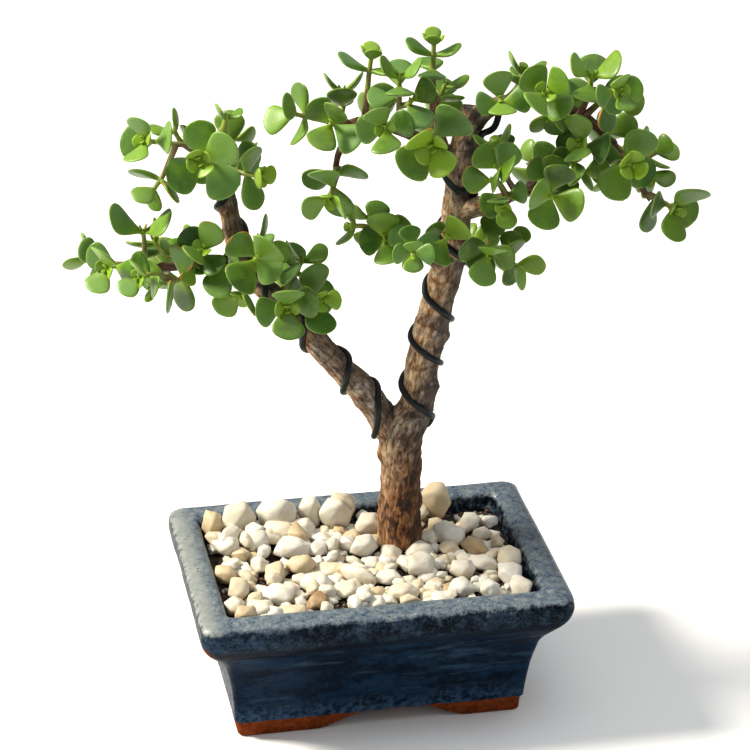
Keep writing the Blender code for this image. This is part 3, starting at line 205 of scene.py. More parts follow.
# Each shoot as (name, what carries it, its tip, its heading, leaf pairs, leaf length in mm, degrees that
# its first pair is turned, and that pair's share of the length). A shoot that another carries is one
# piece with it.
SHOOTS = (
    ("high_face", "left", (-82, -20, 181), (-1, -9, 3), 3, 17, -60, 0.5),
    ("high_behind", "high_face", (-81, 4, 180), (-1, 1, 9), 2, 15, 20, 0.9),
    ("high_west", "left", (-104, -12, 186), (-3, -8, 4), 2, 14, 95, 0.95),
    ("high_low_west", "high_west", (-102, -6, 162), (-5, -5, -5), 2, 13, 110, 0.9),
    ("high_crest", "left", (-94, 2, 185), (-3, 0, 9), 2, 12, 0, 0.95),
    ("high_bud", "left", (-73, 0, 192), (2, 0, 10), 1, 8, 20, 1),
    ("high_east", "left", (-60, -14, 173), (8, -5, 1), 3, 14, 0, 0.65),
    ("high_back", "left", (-71, 26, 173), (3, 9, 3), 2, 14, 0, 0.8),
    ("high_back_east", "high_back", (-65, 14, 167), (6, 7, 2), 2, 13, 45, 0.8),
    ("west_rise", "west", (-106, -6, 145), (-1, -4, 8), 1, 17, 0, 1),
    ("west_end", "west", (-120, -14, 132), (-4, -9, 2), 2, 14, 70, 0.95),
    ("west_tip_back", "west_end", (-130, 4, 129), (-8, 2, 4), 2, 12, 0, 0.9),
    ("west_front", "west", (-101, -18, 127), (-9, -3, 0), 3, 15, 90, 0.55),
    ("west_drop", "west_front", (-106, -22, 132), (-3, -9, -1), 2, 12, 60, 0.95),
    ("west_inner", "west", (-82, -14, 141), (0, -6, 7), 2, 13, 50, 1),
    ("west_mid", "west", (-92, 0, 134), (-2, -3, 9), 2, 13, 30, 0.9),
    ("west_under", "west_front", (-85, -11, 132), (-1, -5, -8), 2, 12, 20, 0.8),
    ("west_back", "west", (-100, 24, 118), (-2, 9, 3), 2, 14, 0, 0.8),
    ("fork_face", "left", (-60, -26, 143), (0, -9, 2), 2, 14, 45, 1.28),
    ("fork_side", "west", (-72, -10, 132), (-6, -4, -3), 1, 15, 60, 1),
    ("fork_front", "left", (-48, -24, 121), (1, -9, 1), 2, 15, 95, 1),
    ("fork_east", "left", (-35, -16, 121), (5, -8, 2), 3, 15, 10, 0.6),
    ("fork_drop", "left", (-67, -14, 122), (-4, -5, -7), 1, 14, 20, 1),
    ("fork_crest", "left", (-43, 0, 131), (2, -2, 9), 2, 14, 20, 0.9),
    ("fork_top", "fork_crest", (-53, -8, 132), (-1, -4, 8), 2, 13, 50, 0.9),
    ("fork_west", "fork_crest", (-61, 6, 137), (-3, 2, 8), 2, 13, 0, 0.9),
    ("fork_back", "left", (-50, 26, 107), (4, 9, 1), 2, 14, 0, 0.8),
    ("crown_west", "crown", (-47, -8, 197), (-9, -3, 3), 2, 13, 0, 1),
    ("crown_west_face", "crown", (-32, -18, 197), (0, -8, 3), 2, 14, 60, 0.95),
    ("crown_rear_west", "crown_west", (-28, 8, 201), (-2, 2, 9), 2, 13, 0, 0.9),
    ("crown_spire", "crown", (-17, 4, 217), (1, 0, 9), 2, 14.5, 90, 0.6),
    ("crown_stem", "crown", (-6, -14, 216), (0, -2, 10), 3, 13, 0, 0.95),
    ("crown_front", "crown", (-11, -26, 199), (-1, -9, 1), 2, 13, 105, 1),
    ("crown_mid", "crown_stem", (-1, -16, 207), (1, -7, 6), 2, 13, 20, 0.9),
    ("crown_low_face", "top", (7, -28, 193), (0, -9, 0), 2, 19, 130, 0.74),
    ("crown_top", "top", (7, 0, 225), (0, 0, 10), 3, 13, 90, 0.55),
    ("crown_back", "crown", (-13, 26, 187), (-1, 8, 5), 2, 14, 0, 0.8),
    ("crown_back_east", "top", (11, 24, 186), (4, 8, 4), 2, 14, 40, 0.8),
    ("hang_face", "hang", (-32, -18, 166), (-2, -8, -4), 3, 14, 20, 0.9),
    ("inner_west", "inner", (-23, -10, 151), (-9, -3, -2), 1, 11, 90, 1),
    ("inner_rise", "inner_west", (-17, 2, 150), (-4, 3, 7), 2, 12, 20, 0.8),
    ("inner_top", "inner", (-10, -14, 148), (-1, -7, 3), 2, 13.5, 100, 1),
    ("inner_face", "inner", (1, -34, 150), (0, -9, 1), 4, 10, 90, 0.85),
    ("inner_behind", "inner_face", (8, -12, 144), (3, -5, 5), 2, 13, 100, 0.95),
    ("trunk_face", "trunk", (14, -20, 151), (2, -8, 3), 1, 13, 50, 1),
    ("east_first", "east", (33, -16, 208), (-1, -7, 6), 2, 12, 100, 1),
    ("east_vee", "east_first", (42, 0, 214), (0, 0, 10), 2, 11, 0, 0.95),
    ("east_face", "east", (50, -18, 212), (0, -8, 5), 2, 14, 40, 1),
    ("east_high", "east", (68, -8, 216), (0, -4, 8), 3, 14, 0, 1),
    ("east_outer", "east_high", (78, -20, 214), (3, -8, 3), 3, 11, 110, 0.9),
    ("east_shoulder", "east", (79, -8, 204), (4, -4, -6), 2, 14, 0, 0.9),
    ("east_under", "east", (53, -6, 197), (-1, -4, -8), 2, 12, 30, 0.8),
    ("east_spur", "east", (65, -12, 189), (-1, -5, 7), 2, 14, 90, 1),
    ("east_spur_west", "east_spur", (62, -14, 182), (-3, -7, 4), 2, 12, 130, 0.9),
    ("east_drop_face", "east", (84, -22, 185), (1, -9, 2), 3, 16, -30, 0.55),
    ("east_drop_low", "east", (94, 0, 171), (4, -2, -7), 2, 13, 30, 0.9),
    ("east_drop_side", "east_drop_low", (97, 2, 181), (8, 0, 4), 2, 12, 60, 0.9),
    ("east_drop_under", "east", (79, -2, 169), (-2, -3, -8), 2, 13, 30, 0.8),
    ("east_end", "east", (103, -16, 164), (5, -8, 0), 3, 14, 65, 1.12),
    ("east_back", "east", (63, 26, 190), (1, 9, 4), 2, 14, 0, 0.8),
    ("east_back_out", "east", (80, 24, 182), (5, 8, 2), 2, 14, 50, 0.8),
    ("mid_face", "mid", (54, -28, 173), (1, -9, 0), 2, 14.5, -20, 1),
    ("mid_up", "mid_face", (54, -14, 175), (0, -6, 6), 2, 13, 60, 1),
    ("mid_out", "mid", (67, -14, 177), (5, -7, 1), 2, 12, 30, 0.9),
    ("mid_inner", "mid", (33, -22, 182), (-2, -7, 4), 2, 12.5, 150, 0.95),
    ("mid_rise", "mid_inner", (32, -8, 186), (-1, -3, 8), 2, 12, 0, 0.95),
    ("mid_under", "mid", (36, -16, 164), (-1, -5, -6), 2, 12, 120, 0.9),
    ("mid_back", "mid", (50, 22, 167), (2, 9, 3), 2, 14, 30, 0.8),
    ("south_face", "south", (31, -16, 142), (0, -7, -4), 3, 13, 75, 1),
    ("south_end", "south", (43, -10, 135), (3, -8, -1), 2, 12, 0, 1.05),
    ("south_up", "south_end", (40, -2, 141), (0, -3, 8), 2, 12, 30, 0.9),
    ("south_back", "south", (27, 20, 132), (2, 9, -1), 2, 12, 45, 0.8),
    ("west_crest", "west_mid", (-103, 4, 136), (-4, 2, 8), 2, 13, 0, 0.9),
    ("crown_east", "crown_back_east", (12, 4, 206), (4, 0, 9), 2, 13, 0, 0.9),
    ("east_drop_rise", "east_back_out", (88, 8, 180), (0, 3, 9), 2, 11, 0, 0.9),
    ("mid_low", "mid_under", (30, -22, 177), (-3, -7, -1), 1, 11.5, 190, 1),
)

# The finer leaves: rings along a blade, points round it, and how much its outline varies
BLADE_RINGS = 13
BLADE_SIDES = 18
BLADE_PEAK = (1.5, 2.1)  # a higher value puts the widest place nearer the tip
BLADE_ROUND = (0.5, 0.62)  # a lower value makes the outline fuller
BLADE_EDGE = 0.82  # under 1, the edge is plumper than an ellipse's
BLADE_TOP = 0.95  # the upper face's share of the half thickness
BLADE_DISH = 0.035  # how far the edges turn up, as a share of the half width
BLADE_WAVE = 0.035
# The small leaves at a shoot's tip, which the part leaves out, as (share of the length, degrees of lean)
BUD_LEAVES = ((0.4, 50), (0.17, 24))
OPEN_BUDS = 0.4  # the share of shoots whose tip shows the larger of these pairs too
BUD_RISE = 0.9 * MM

PAIR_YOUTH = (0.4, 0.22, 0.08, 0)

# The finer stems, wire and wood
DOME = ((0.5, 0.86), (0.87, 0.5), (1.0, 0.12))  # a rounded end's (rise, width), as shares of the radius
STEM_SIDES = 10
STEM_RING = 0.9 * MM
STEM_SUNK = 1.6 * MM  # how far a stem's foot reaches into its limb
STEM_COLLAR = 0.5
WIRE_SIDES = 12
WIRE_RING = 1.2 * MM
LIMB_SIDES = 24
LIMB_RING = 2.5 * MM
WOOD_VOXEL = 0.62 * MM
KNOB_RISE = 0.42  # of a knob's own radius
LIT_SIDE = Vector((-1, 0.05, 0.2)).normalized()  # the side of the limbs that faces the key light, painted paler, with the far side painted darker
WIRE_STOUT = 1.12  # the fine wire's radius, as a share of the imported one's
WIRE_SUNK = 0.5  # how far out of the bark the wire's middle lies, as a share of its radius
WIRE_NEAR = 3 * MM  # the fine wire is seated on bark that is nearer than this
# Knobs and healed scars on the bark, as (right, away, up, radius) in mm
KNOBS = (
    (14, -2, 77.5, 4.2), (-16.2, -3, 83.5, 5.0), (-6.8, -5.5, 63, 4.2), (2.3, -7.5, 60, 4.6),
    (5.4, -6, 73, 3.6), (-3.8, -6, 66.5, 3.4), (-25, -4, 88, 4.0), (-9.2, -2, 44, 2.8),
    (-31, -4, 92, 3.4), (16, 0, 99, 3.2), (9, -5.4, 104, 2.8), (23, 0, 141, 3.4),
    (-75, -1, 141, 3.4), (-68, 0, 126, 3.8), (-13, -4, 68, 3.0), (24.5, -1, 196.5, 3.6),
    (7.6, -3, 22.5, 2.6), (-2, -8, 55, 3.6), (4, -7.5, 52, 3.0), (-8.5, -4.5, 55, 3.2),
)  # fmt: skip
# Where painted light makes the bark creamy on its lit left edges, and where it is ashy, as (right, away, up, radius) in
# mm
LIT_CREAM_PATCHES = (
    (-9, -3, 47, 8), (-9, -4, 36, 6), (-10, -4, 27, 5), (-13, -4, 58, 6), (-23, -5, 70, 5), (3, -4, 84, 6),
    (3, -5, 92, 7), (4, -5, 102, 7), (8, -4, 114, 6), (11, -4, 126, 6), (14, -3, 140, 6), (15, -3, 150, 5),
    (-31, -4, 82, 4), (-44, -4, 98, 4), (-70, 0, 138, 4), (33, -4, 158, 5),
)  # fmt: skip
ASH_PATCHES = (
    (-4, -7, 62, 8), (4, -7, 64, 9), (-11, -5, 70, 7), (-18, -5, 77, 6), (10, -6, 80, 7), (13, -5, 92, 7),
    (13, -5, 103, 6), (-36, -5, 94, 5), (22, -3, 130, 6), (24, -2, 190, 8), (-74, 0, 158, 6),
)  # fmt: skip

# The finer pot
FINE_CORNER_STEPS = 12
FINE_WALL_STEP = 3.2 * MM
FINE_RING_STEP = 1.7 * MM
GLAZE_LINE = 7.6 * MM
ARCH_TOP = 7.2 * MM
ARCH_MIDDLE = 5 * MM  # the front arch's middle, right of the pot's
ARCH_OPENS = 0.71  # where an arch starts to rise, as a share of its width from its middle
ARCH_SLOPE = 0.5
# Where the glaze missed the clay, as (right, away, up, radius) in mm from the pot's middle
BARE_CLAY = ((-75, -47, 51, 4.4), (-74, -48, 46.5, 3.9), (-33.5, -52, 52.4, 2.2), (-30, -51, 51.6, 1.6))
# Where the lip's front is hazy blue
HAZE_PATCHES = ((-68, -52, 57, 12), (-52, -52, 58, 9), (-12, -52, 60, 6), (6, -52, 60, 6), (44, -52, 60, 6))
POT_WOBBLE = 0.55 * MM
DRAIN_FINE_SIDES = 32
SHARP_ANGLE = math.radians(48)

# The finer chips, the small ones that lie between them, and the crumbs of soil
CHIP_CREASE = 0.56
CHIP_LEVELS = 2
KEY_GROW = (0.94, 0.84, 0.95)  # a listed chip against its packed one, along, across and up
CHIP_GROW = (0.96, 0.78, 0.92)  # any other chip, before it is drawn in to leave the others room
CHIP_CROWD = 0.7  # how near to each other chips lie: 1 is edge to edge
LEAST_CHIP = 0.55
CHIP_BLOCKY = 0.55  # over 0, a chip's corners move out towards those of its box
# How brown each listed chip is, from white to dark brown
KEY_TINTS = (
    0.1, 0.5, 0.6, 0.3, 0.05, 0.3, 0.05, 0.8, 0.2, 0.5, 0.1, 0.3, 0.2, 0.55, 0.5, 0.1, 0.3, 0.2, 0.5,
    0.84, 0.7, 0.4, 0.75, 0.96, 0.2, 0.1, 0.4, 0.6, 0.3, 0.7, 0.4, 0.86, 0.3, 0.1, 0.84, 0.3, 0.86,
)  # fmt: skip
BROWNEST_CHIP = 0.92  # of the chips that aren't listed one by one
SMALL_CHIPS = 340
# Chips heaped on the others along the back left, as a count and as the ranges of right, away and radius
HEAP_CHIPS = 40
HEAP_RIGHT = (-62 * MM, -4 * MM)
HEAP_AWAY = (17 * MM, 33 * MM)
HEAP_RADIUS = (4.0 * MM, 5.8 * MM)
SMALL_CHIP_RADIUS = (1.9 * MM, 4.3 * MM)
SMALL_CHIP_LIFT = 4 * MM  # where the ground is higher than this over the soil, none lies
CRUMBS = 12000
CRUMB_RADIUS = (0.35 * MM, 1.25 * MM)

# The photograph's camera, round a point over the pot's middle
LENS = 132.96
SENSOR = 36
CAMERA_DISTANCE = 1.112
CAMERA_ELEVATION = math.radians(26.84)
CAMERA_YAW = math.radians(12.34)
CAMERA_ROLL = math.radians(1.40)
CAMERA_TARGET = (1.64 * MM, 0, 144 * MM)

# Colours, as linear red, green and blue
DEEP_GREEN = (0.014, 0.058, 0.002)
MID_GREEN = (0.042, 0.128, 0.003)
FRESH_GREEN = (0.095, 0.215, 0.004)
WAXY_GREEN = (0.1, 0.21, 0.045)
YOUNG_GREEN = (0.2, 0.34, 0.006)
FOOT_GREEN_AND_SUN_GLOW = (0.18, 0.3, 0.006)
UNDER_GREEN = (0.1, 0.18, 0.02)
DOT_GREEN = (0.28, 0.4, 0.14)
RIM_GREEN = (0.21, 0.31, 0.035)
BLUSH = (0.42, 0.12, 0.01)
STEM_YOUNG = (0.22, 0.3, 0.02)
STEM_GREEN = (0.15, 0.17, 0.025)
STEM_RED = (0.11, 0.034, 0.016)
STEM_BROWN = (0.055, 0.026, 0.015)
STEM_PALE = (0.2, 0.15, 0.07)
CRACK = (0.008, 0.004, 0.002)
RUST = (0.06, 0.018, 0.006)
ORANGE_BARK = (0.22, 0.072, 0.017)
TAN_BARK = (0.4, 0.2, 0.07)
BROWN_BARK = (0.065, 0.04, 0.024)
GREY_BARK = (0.17, 0.12, 0.08)
PALE_BARK = (0.4, 0.29, 0.18)
LIT_CREAM_BARK = (0.74, 0.57, 0.36)
ASH_BARK = (0.16, 0.14, 0.118)
ASH_PALE = (0.42, 0.385, 0.335)
TWIG = (0.08, 0.032, 0.015)
TWIG_PALE = (0.2, 0.11, 0.055)
STUB = (0.5, 0.38, 0.23)
WIRE_DARK = (0.003, 0.006, 0.007)
WIRE_SCUFF = (0.018, 0.028, 0.03)
GLAZE_BLACK = (0.0015, 0.003, 0.006)
GLAZE_NAVY = (0.0025, 0.008, 0.018)
GLAZE_BLUE = (0.005, 0.018, 0.042)
GLAZE_GREEN = (0.009, 0.022, 0.021)
GLAZE_LIGHT = (0.026, 0.052, 0.088)
GLAZE_DEEP = (0.018, 0.036, 0.062)
GLAZE_STEEL = (0.06, 0.09, 0.125)
GLAZE_GREY = (0.13, 0.155, 0.175)
GLAZE_PALE = (0.27, 0.285, 0.25)
GLAZE_HAZE = (0.034, 0.068, 0.125)
CLAY = (0.14, 0.03, 0.008)
CLAY_DARK = (0.075, 0.015, 0.004)
CLAY_PALE = (0.21, 0.055, 0.016)
CHIP_WHITE = (0.65, 0.635, 0.575)
CHIP_IVORY = (0.62, 0.57, 0.45)
CHIP_CREAM = (0.53, 0.43, 0.27)
CHIP_TAN = (0.37, 0.24, 0.12)
CHIP_BROWN = (0.15, 0.075, 0.03)
CHIP_STAIN = (0.52, 0.4, 0.23)
CHIP_VEIN = (0.42, 0.36, 0.28)
SOIL_BLACK = (0.01, 0.007, 0.005)
SOIL_BROWN = (0.04, 0.023, 0.013)
SOIL_RUST = (0.13, 0.05, 0.02)
GRIT_TAN = (0.33, 0.23, 0.14)
GRIT_GREY = (0.42, 0.4, 0.36)

Chip = namedtuple("Chip", "middle halves turn lean")
Shoot = namedtuple("Shoot", "name carrier tip heading pairs leaf turn young")
Leaf = namedtuple("Leaf", "root along across face length")
Placed = namedtuple("Placed", "leaf node middle reach whole blade")


def mesh_from(name, shape):
    """A mesh from a bmesh, with its faces turned out. The bmesh is freed."""
    bmesh.ops.recalc_face_normals(shape, faces=shape.faces)
    mesh = bpy.data.meshes.new(name)
    shape.to_mesh(mesh)
    shape.free()
    return mesh


def tube(name, run, bevel_resolution):
    """A capped tube along rows of (x, y, z, radius), as a mesh made from a curve."""
    curve = bpy.data.curves.new(name, "CURVE")
    curve.dimensions = "3D"
    curve.bevel_depth = 1
    curve.bevel_resolution = bevel_resolution
    curve.use_fill_caps = True
    spline = curve.splines.new("POLY")
    spline.points.add(len(run) - 1)
    for point, row in zip(spline.points, run):
        point.co = (*row.xyz, 1)
        point.radius = row.w
    guide = bpy.data.objects.new(name, curve)
    mesh = bpy.data.meshes.new_from_object(guide)
    bpy.data.objects.remove(guide)
    bpy.data.curves.remove(curve)
    shape = bmesh.new()
    shape.from_mesh(mesh)
    bpy.data.meshes.remove(mesh)
    bmesh.ops.remove_doubles(shape, verts=shape.verts, dist=0.001 * MM)
    return mesh_from(name, shape)


def smooth_run(knots, step):
    """Rows about a step apart along a smooth curve through the knots, which are Vectors of any size."""
    rows = [knots[0] * 2 - knots[1], *knots, knots[-1] * 2 - knots[-2]]
    run = []
    for before, start, end, after in zip(rows, rows[1:], rows[2:], rows[3:]):
        count = max(1, round((end - start).length / step))
        for i in range(count):
            t = i / count
            bend = (end - before) * t + (2 * before - 5 * start + 4 * end - after) * t**2
            run.append(start + 0.5 * (bend + (3 * start - before - 3 * end + after) * t**3))
    return [*run, knots[-1]]


def surface_of(mesh):
    """A search tree over the mesh's faces."""
    return BVHTree.FromPolygons([v.co for v in mesh.vertices], [p.vertices[:] for p in mesh.polygons])


def inner_inset(height):
    """How far in from the rim's edge the pot's inner wall is at this height."""
    for (low_in, low), (high_in, high) in zip(INNER_WALL, INNER_WALL[1:]):
        if height <= high * MM:
            share = (height / MM - low) / (high - low)
            return (low_in + (high_in - low_in) * share) * MM
    return INNER_WALL[-1][0] * MM


def key_chips(draw):
    """The chips that are listed one by one, each leant a little to one side."""
    chips = []
    for right, away, up, length, width, height, turn in KEY_CHIPS:
        middle = Vector((right, away, SOIL_TOP / MM + up)) * MM
        halves = Vector((length, width, height)) * MM / 2
        lean = draw.uniform(-1, 1) * CHIP_LEAN / 2
        chips.append(Chip(middle, halves, math.radians(turn), lean))
    return chips


def chip_places(draw):
    """Every marble chip: those listed one by one, then staggered rows that keep off them and off bare spots."""
    keys = key_chips(draw)
    half_x = POT_WIDTH / 2 - inner_inset(SOIL_TOP)
    half_y = POT_DEPTH / 2 - inner_inset(SOIL_TOP)
    rows = round(2 * half_y / (CHIP_SPACING * CHIP_ROW_SHARE))
    chips = []
    for row in range(rows):
        stagger = 0.5 * (row % 2)
        for column in range(round(2 * half_x / CHIP_SPACING) - row % 2):
            size = draw.uniform(*CHIP_RADIUS)
            x = -half_x + (column + 0.5 + stagger) * CHIP_SPACING + draw.uniform(-1, 1) * CHIP_SHAKE
            y = -half_y + (row + 0.5) * 2 * half_y / rows + draw.uniform(-1, 1) * CHIP_SHAKE
            most_x = half_x - CHIP_FROM_WALL * size
            most_y = half_y - CHIP_FROM_WALL * size
            x = max(-most_x, min(most_x, x))
            y = max(-most_y, min(most_y, y))
            up = draw.uniform(0, CHIP_HEAP) + CHIP_BANK * max(0, y / half_y, -x / half_x / 2)
            halves = size * Vector((1, draw.uniform(0.8, 1), draw.uniform(0.62, 0.8)))
            turn = draw.uniform(0, math.tau)
            lean = draw.uniform(-1, 1) * CHIP_LEAN
            near_trunk = math.dist((x, y), TREE_PLACE) < TRUNK_HOLE
            near_key = any(math.dist((x, y), key.middle.xy) < KEY_CHIP_CLEAR for key in keys)
            bare = any(math.dist((x / MM, y / MM), spot[:2]) < spot[2] for spot in BARE_SOIL)
            if not near_trunk and not near_key and not bare:
                chips.append(Chip(Vector((x, y, SOIL_TOP + up)), halves, turn, lean))
    return keys + chips


def kept_off_wall(point):
    """The point, or the nearest one to it that clears the pot's inner wall."""
    inset = inner_inset(min(point.z, LIP_UNDERSIDE * MM))
    corner = RIM_CORNER - CORNER_FADE * inset
    flat_x = POT_WIDTH / 2 - inset - corner
    flat_y = POT_DEPTH / 2 - inset - corner
    over = Vector((max(0, abs(point.x) - flat_x), max(0, abs(point.y) - flat_y)))
    if over.length > corner - GAP:
        over *= (corner - GAP) / over.length
    x = math.copysign(min(abs(point.x), flat_x) + over.x, point.x)
    y = math.copysign(min(abs(point.y), flat_y) + over.y, point.y)
    return Vector((x, y, point.z))


def chip_corners(chip, draw):
    """The corners of one angular chip, spread over a flattened ball, level where it meets the soil."""
    corners = []
    turn = Matrix.Rotation(chip.turn, 3, "Z") @ Matrix.Rotation(chip.lean, 3, "X")
    seat = SOIL_TOP + GAP + draw.uniform(0, 0.5) * MM
    for i in range(CHIP_CORNERS):
        level = 1 - (2 * i + 1) / CHIP_CORNERS
        around = i * GOLDEN_ANGLE + draw.uniform(-0.35, 0.35)
        flat = math.sqrt(1 - level**2)
        corner = Vector((flat * math.cos(around), flat * math.sin(around), level)) * chip.halves
        point = chip.middle + draw.uniform(0.94, 1.14) * (turn @ corner)
        point.z = max(point.z, seat)
        corners.append(kept_off_wall(point))
    return corners


def limb_runs():
    """Every limb as rows of (x, y, z, radius) in metres, in the tree's frame."""
    runs = {}
    for name, knots in LIMBS.items():
        runs[name] = smooth_run([Vector(knot) * MM for knot in knots], LIMB_STEP)
    return runs


def wound(run, passes):
    """Points round a limb, through its passes and between them."""
    lengths = [0]
    for here, after in zip(run, run[1:]):
        lengths.append(lengths[-1] + (after.xyz - here.xyz).length)
    points = []
    for (start, turned), (end, turns) in zip(passes, passes[1:]):
        for i in range(WIRE_PASS_POINTS):
            share = i / WIRE_PASS_POINTS
            along = (start + (end - start) * share) * MM
            angle = math.pi / 2 * (turned + (turns - turned) * share)
            piece = next((k for k in range(1, len(run)) if lengths[k] >= along), len(run) - 1)
            part = (along - lengths[piece - 1]) / (lengths[piece] - lengths[piece - 1])
            middle = run[piece - 1].lerp(run[piece], part)
            onward = (run[piece].xyz - run[piece - 1].xyz).normalized()
            left = Vector((0, -1, 0)).cross(onward).normalized()
            front = onward.cross(left)
            out = front * math.cos(angle) + left * math.sin(angle)
            points.append(middle.xyz + out * (middle.w + WIRE_RADIUS))
    return points


def seat_on(points, surface, lift):
    """Moves each point to this height over the nearest face."""
    seated = []
    for point in points:
        for _ in range(3):
            foot, normal, _, _ = surface.find_nearest(point)
            outward = point - foot
            if outward.dot(normal) < 0 or outward.length < 0.1 * MM:
                outward = normal
            point = foot + outward.normalized() * lift
        seated.append(point)
    return seated


def push_off(points, surface, lift):
    """Moves the points out until every straight piece between them keeps this height over the surface."""
    points = list(points)
    for _ in range(WIRE_ROUNDS):
        for i in range(len(points) - 1):
            for share in (0, 0.25, 0.5, 0.75, 1):
                spot = points[i].lerp(points[i + 1], share)
                foot, normal, _, distance = surface.find_nearest(spot)
                outward = (spot - foot).normalized()
                if outward.dot(normal) < 0:
                    outward.negate()
                    distance = -distance
                if distance < lift:
                    points[i] = points[i] + outward * (lift - distance)
                    points[i + 1] = points[i + 1] + outward * (lift - distance)
    return points


def wire_run(runs, bark):
    """The wire's middle line, laid on the bark from one end to the other."""
    left = wound(runs["left"], LEFT_PASSES)
    right = wound(runs["trunk"], RIGHT_PASSES)
    knots = left[::-1] + [Vector(point) * MM for point in FORK_ROUTE] + right
    lift = WIRE_RADIUS + WIRE_SEAT
    points = seat_on(smooth_run(seat_on(knots, bark, lift), WIRE_STEP), bark, lift)
    points += smooth_run([points[-1]] + [Vector(point) * MM for point in END_ROUTE], WIRE_STEP)[1:]
    points = push_off(points, bark, WIRE_RADIUS + WIRE_CLEAR)
    return [Vector((*point, WIRE_RADIUS)) for point in points]


def all_shoots():
    return [Shoot(*row) for row in SHOOTS]


def node_of(shoot):
    """The name of the shoot whose piece this one is part of: its own, or its carrier's."""
    return shoot.name if shoot.carrier in LIMBS else shoot.carrier


def leafy_length(pairs, length):
    """How much of a stem, back from its tip, bears this many pairs."""
    return TIP_LENGTH + length * sum(INTERNODES[: pairs - 1])


def seated_start(run, bark):
    """The first place along a stem where its flat end clears the bark all round."""
    for i, (here, after) in enumerate(zip(run, run[1:])):
        onward = (after - here).normalized()
        edge = onward.orthogonal().normalized() * STEM_RADIUS[0]
        turns = [Matrix.Rotation(math.radians(angle), 3, onward) for angle in range(0, 360, 45)]
        for point in [here] + [here + turn @ edge for turn in turns]:
            foot, normal, _, distance = bark.find_nearest(point)
            if (point - foot).dot(normal) <= 0 or distance <= GAP:
                break
        else:
            return i
    return len(run) - 2


def stem_rows(base, tip, heading, leafy, bark):
    """A stem as a few rows of (x, y, z, radius). Given bark, it starts just off it."""
    reach = (tip - base).length
    out = (tip - heading * leafy - base).normalized()
    leave = base + out * reach * STEM_EASE
    arrive = tip - heading * max(leafy, reach * STEM_EASE)
    run = interpolate_bezier(base, leave, arrive, tip, STEM_STEPS)
    if bark:
        run = run[seated_start(run, bark) :]
    length = (run[-1] - run[0]).length
    count = 3 if length > LONG_STEM else 2
    thick, thin = STEM_RADIUS
    rows = []
    for i in range(count + 1):
        point = run[round(i / count * (len(run) - 1))]
        rows.append(Vector((*point, thick + (thin - thick) * i / count)))
    return rows


def plan_stems(runs, bark, wire):
    """Every shoot's stem, from the nearest place on its carrier from which it clears all the rest."""
    stems = {}
    surfaces = {}
    nodes = {}
    for shoot in all_shoots():
        nodes[shoot.name] = node_of(shoot)
        tip = Vector(shoot.tip) * MM
        heading = Vector(shoot.heading).normalized()
        leafy = leafy_length(shoot.pairs, shoot.leaf * MM)
        aim = tip - heading * (leafy + STEM_BARE)
        on_wood = shoot.carrier in runs
        rows = runs[shoot.carrier] if on_wood else stems[shoot.carrier][:-1]
        bases = smooth_run([row.xyz for row in rows], 2 * MM)
        others = [bark, wire]
        others += [surfaces[name] for name in surfaces if nodes[name] != nodes[shoot.name]]
        for base in sorted(bases, key=lambda point: (point - aim).length):
            rows = stem_rows(base, tip, heading, leafy, bark if on_wood else None)
            surface = surface_of(tube(shoot.name, rows, 0))
            clear = not any(surface.overlap(other) for other in others)
            if clear or shoot.name not in stems:
                stems[shoot.name] = rows
                surfaces[shoot.name] = surface
            if clear:
                break
    return stems, surfaces


def leaf_cage(leaf, grown=0.0, start=0.0):
    """Points and faces of one leaf as a plump blade: a root, two diamond sections and a blunt tip."""
    half = leaf.length * LEAF_WIDTH / 2 + grown
    thick = LEAF_THICKNESS / 2 * min(1, leaf.length / FULL_LEAF) + grown
    points = [leaf.root + leaf.along * leaf.length * start]
    for share, wide in LEAF_SECTIONS:
        droop = leaf.face * LEAF_BOW * leaf.length * math.sin(math.pi * share)
        middle = leaf.root + leaf.along * leaf.length * share - droop
        spread = leaf.across * half * wide
        points += [middle + spread, middle + leaf.face * thick, middle - spread, middle - leaf.face * thick]
    tip = leaf.root + leaf.along * (leaf.length + grown)
    points += [tip + leaf.across * half * LEAF_TIP, tip - leaf.across * half * LEAF_TIP]
    faces = [(5, 6, 9), (6, 10, 9), (6, 7, 10), (5, 9, 8), (8, 9, 10), (8, 10, 7)]
    for i in range(4):
        after = (i + 1) % 4
        faces += [(0, 1 + i, 1 + after), (1 + i, 1 + after, 5 + after), (1 + i, 5 + after, 5 + i)]
    return points, faces


def place_on_stem(rows, back):
    """The point this far back from a stem's tip, and the stem's direction there."""
    i = len(rows) - 1
    step = rows[i].xyz - rows[i - 1].xyz
    while i > 1 and back > step.length:
        back -= step.length
        i -= 1
        step = rows[i].xyz - rows[i - 1].xyz
    onward = step.normalized()
    return rows[i].xyz - onward * min(back, step.length), onward


def posed_leaf(rows, back, turn, tilt, length):
    """A leaf rooted so far back on its stem, turned about the stem and leant out from it."""
    root, onward = place_on_stem(rows, back)
    right = Vector((1, 0, 0)) - onward * onward.x
    if right.length < 0.3:
        right = Vector((0, 0, 1)).cross(onward)
    out = Matrix.Rotation(math.radians(turn), 3, onward) @ right.normalized()
    along = onward * math.cos(math.radians(tilt)) + out * math.sin(math.radians(tilt))
    across = onward.cross(out).normalized()
    return Leaf(root, along, across, along.cross(across), length)


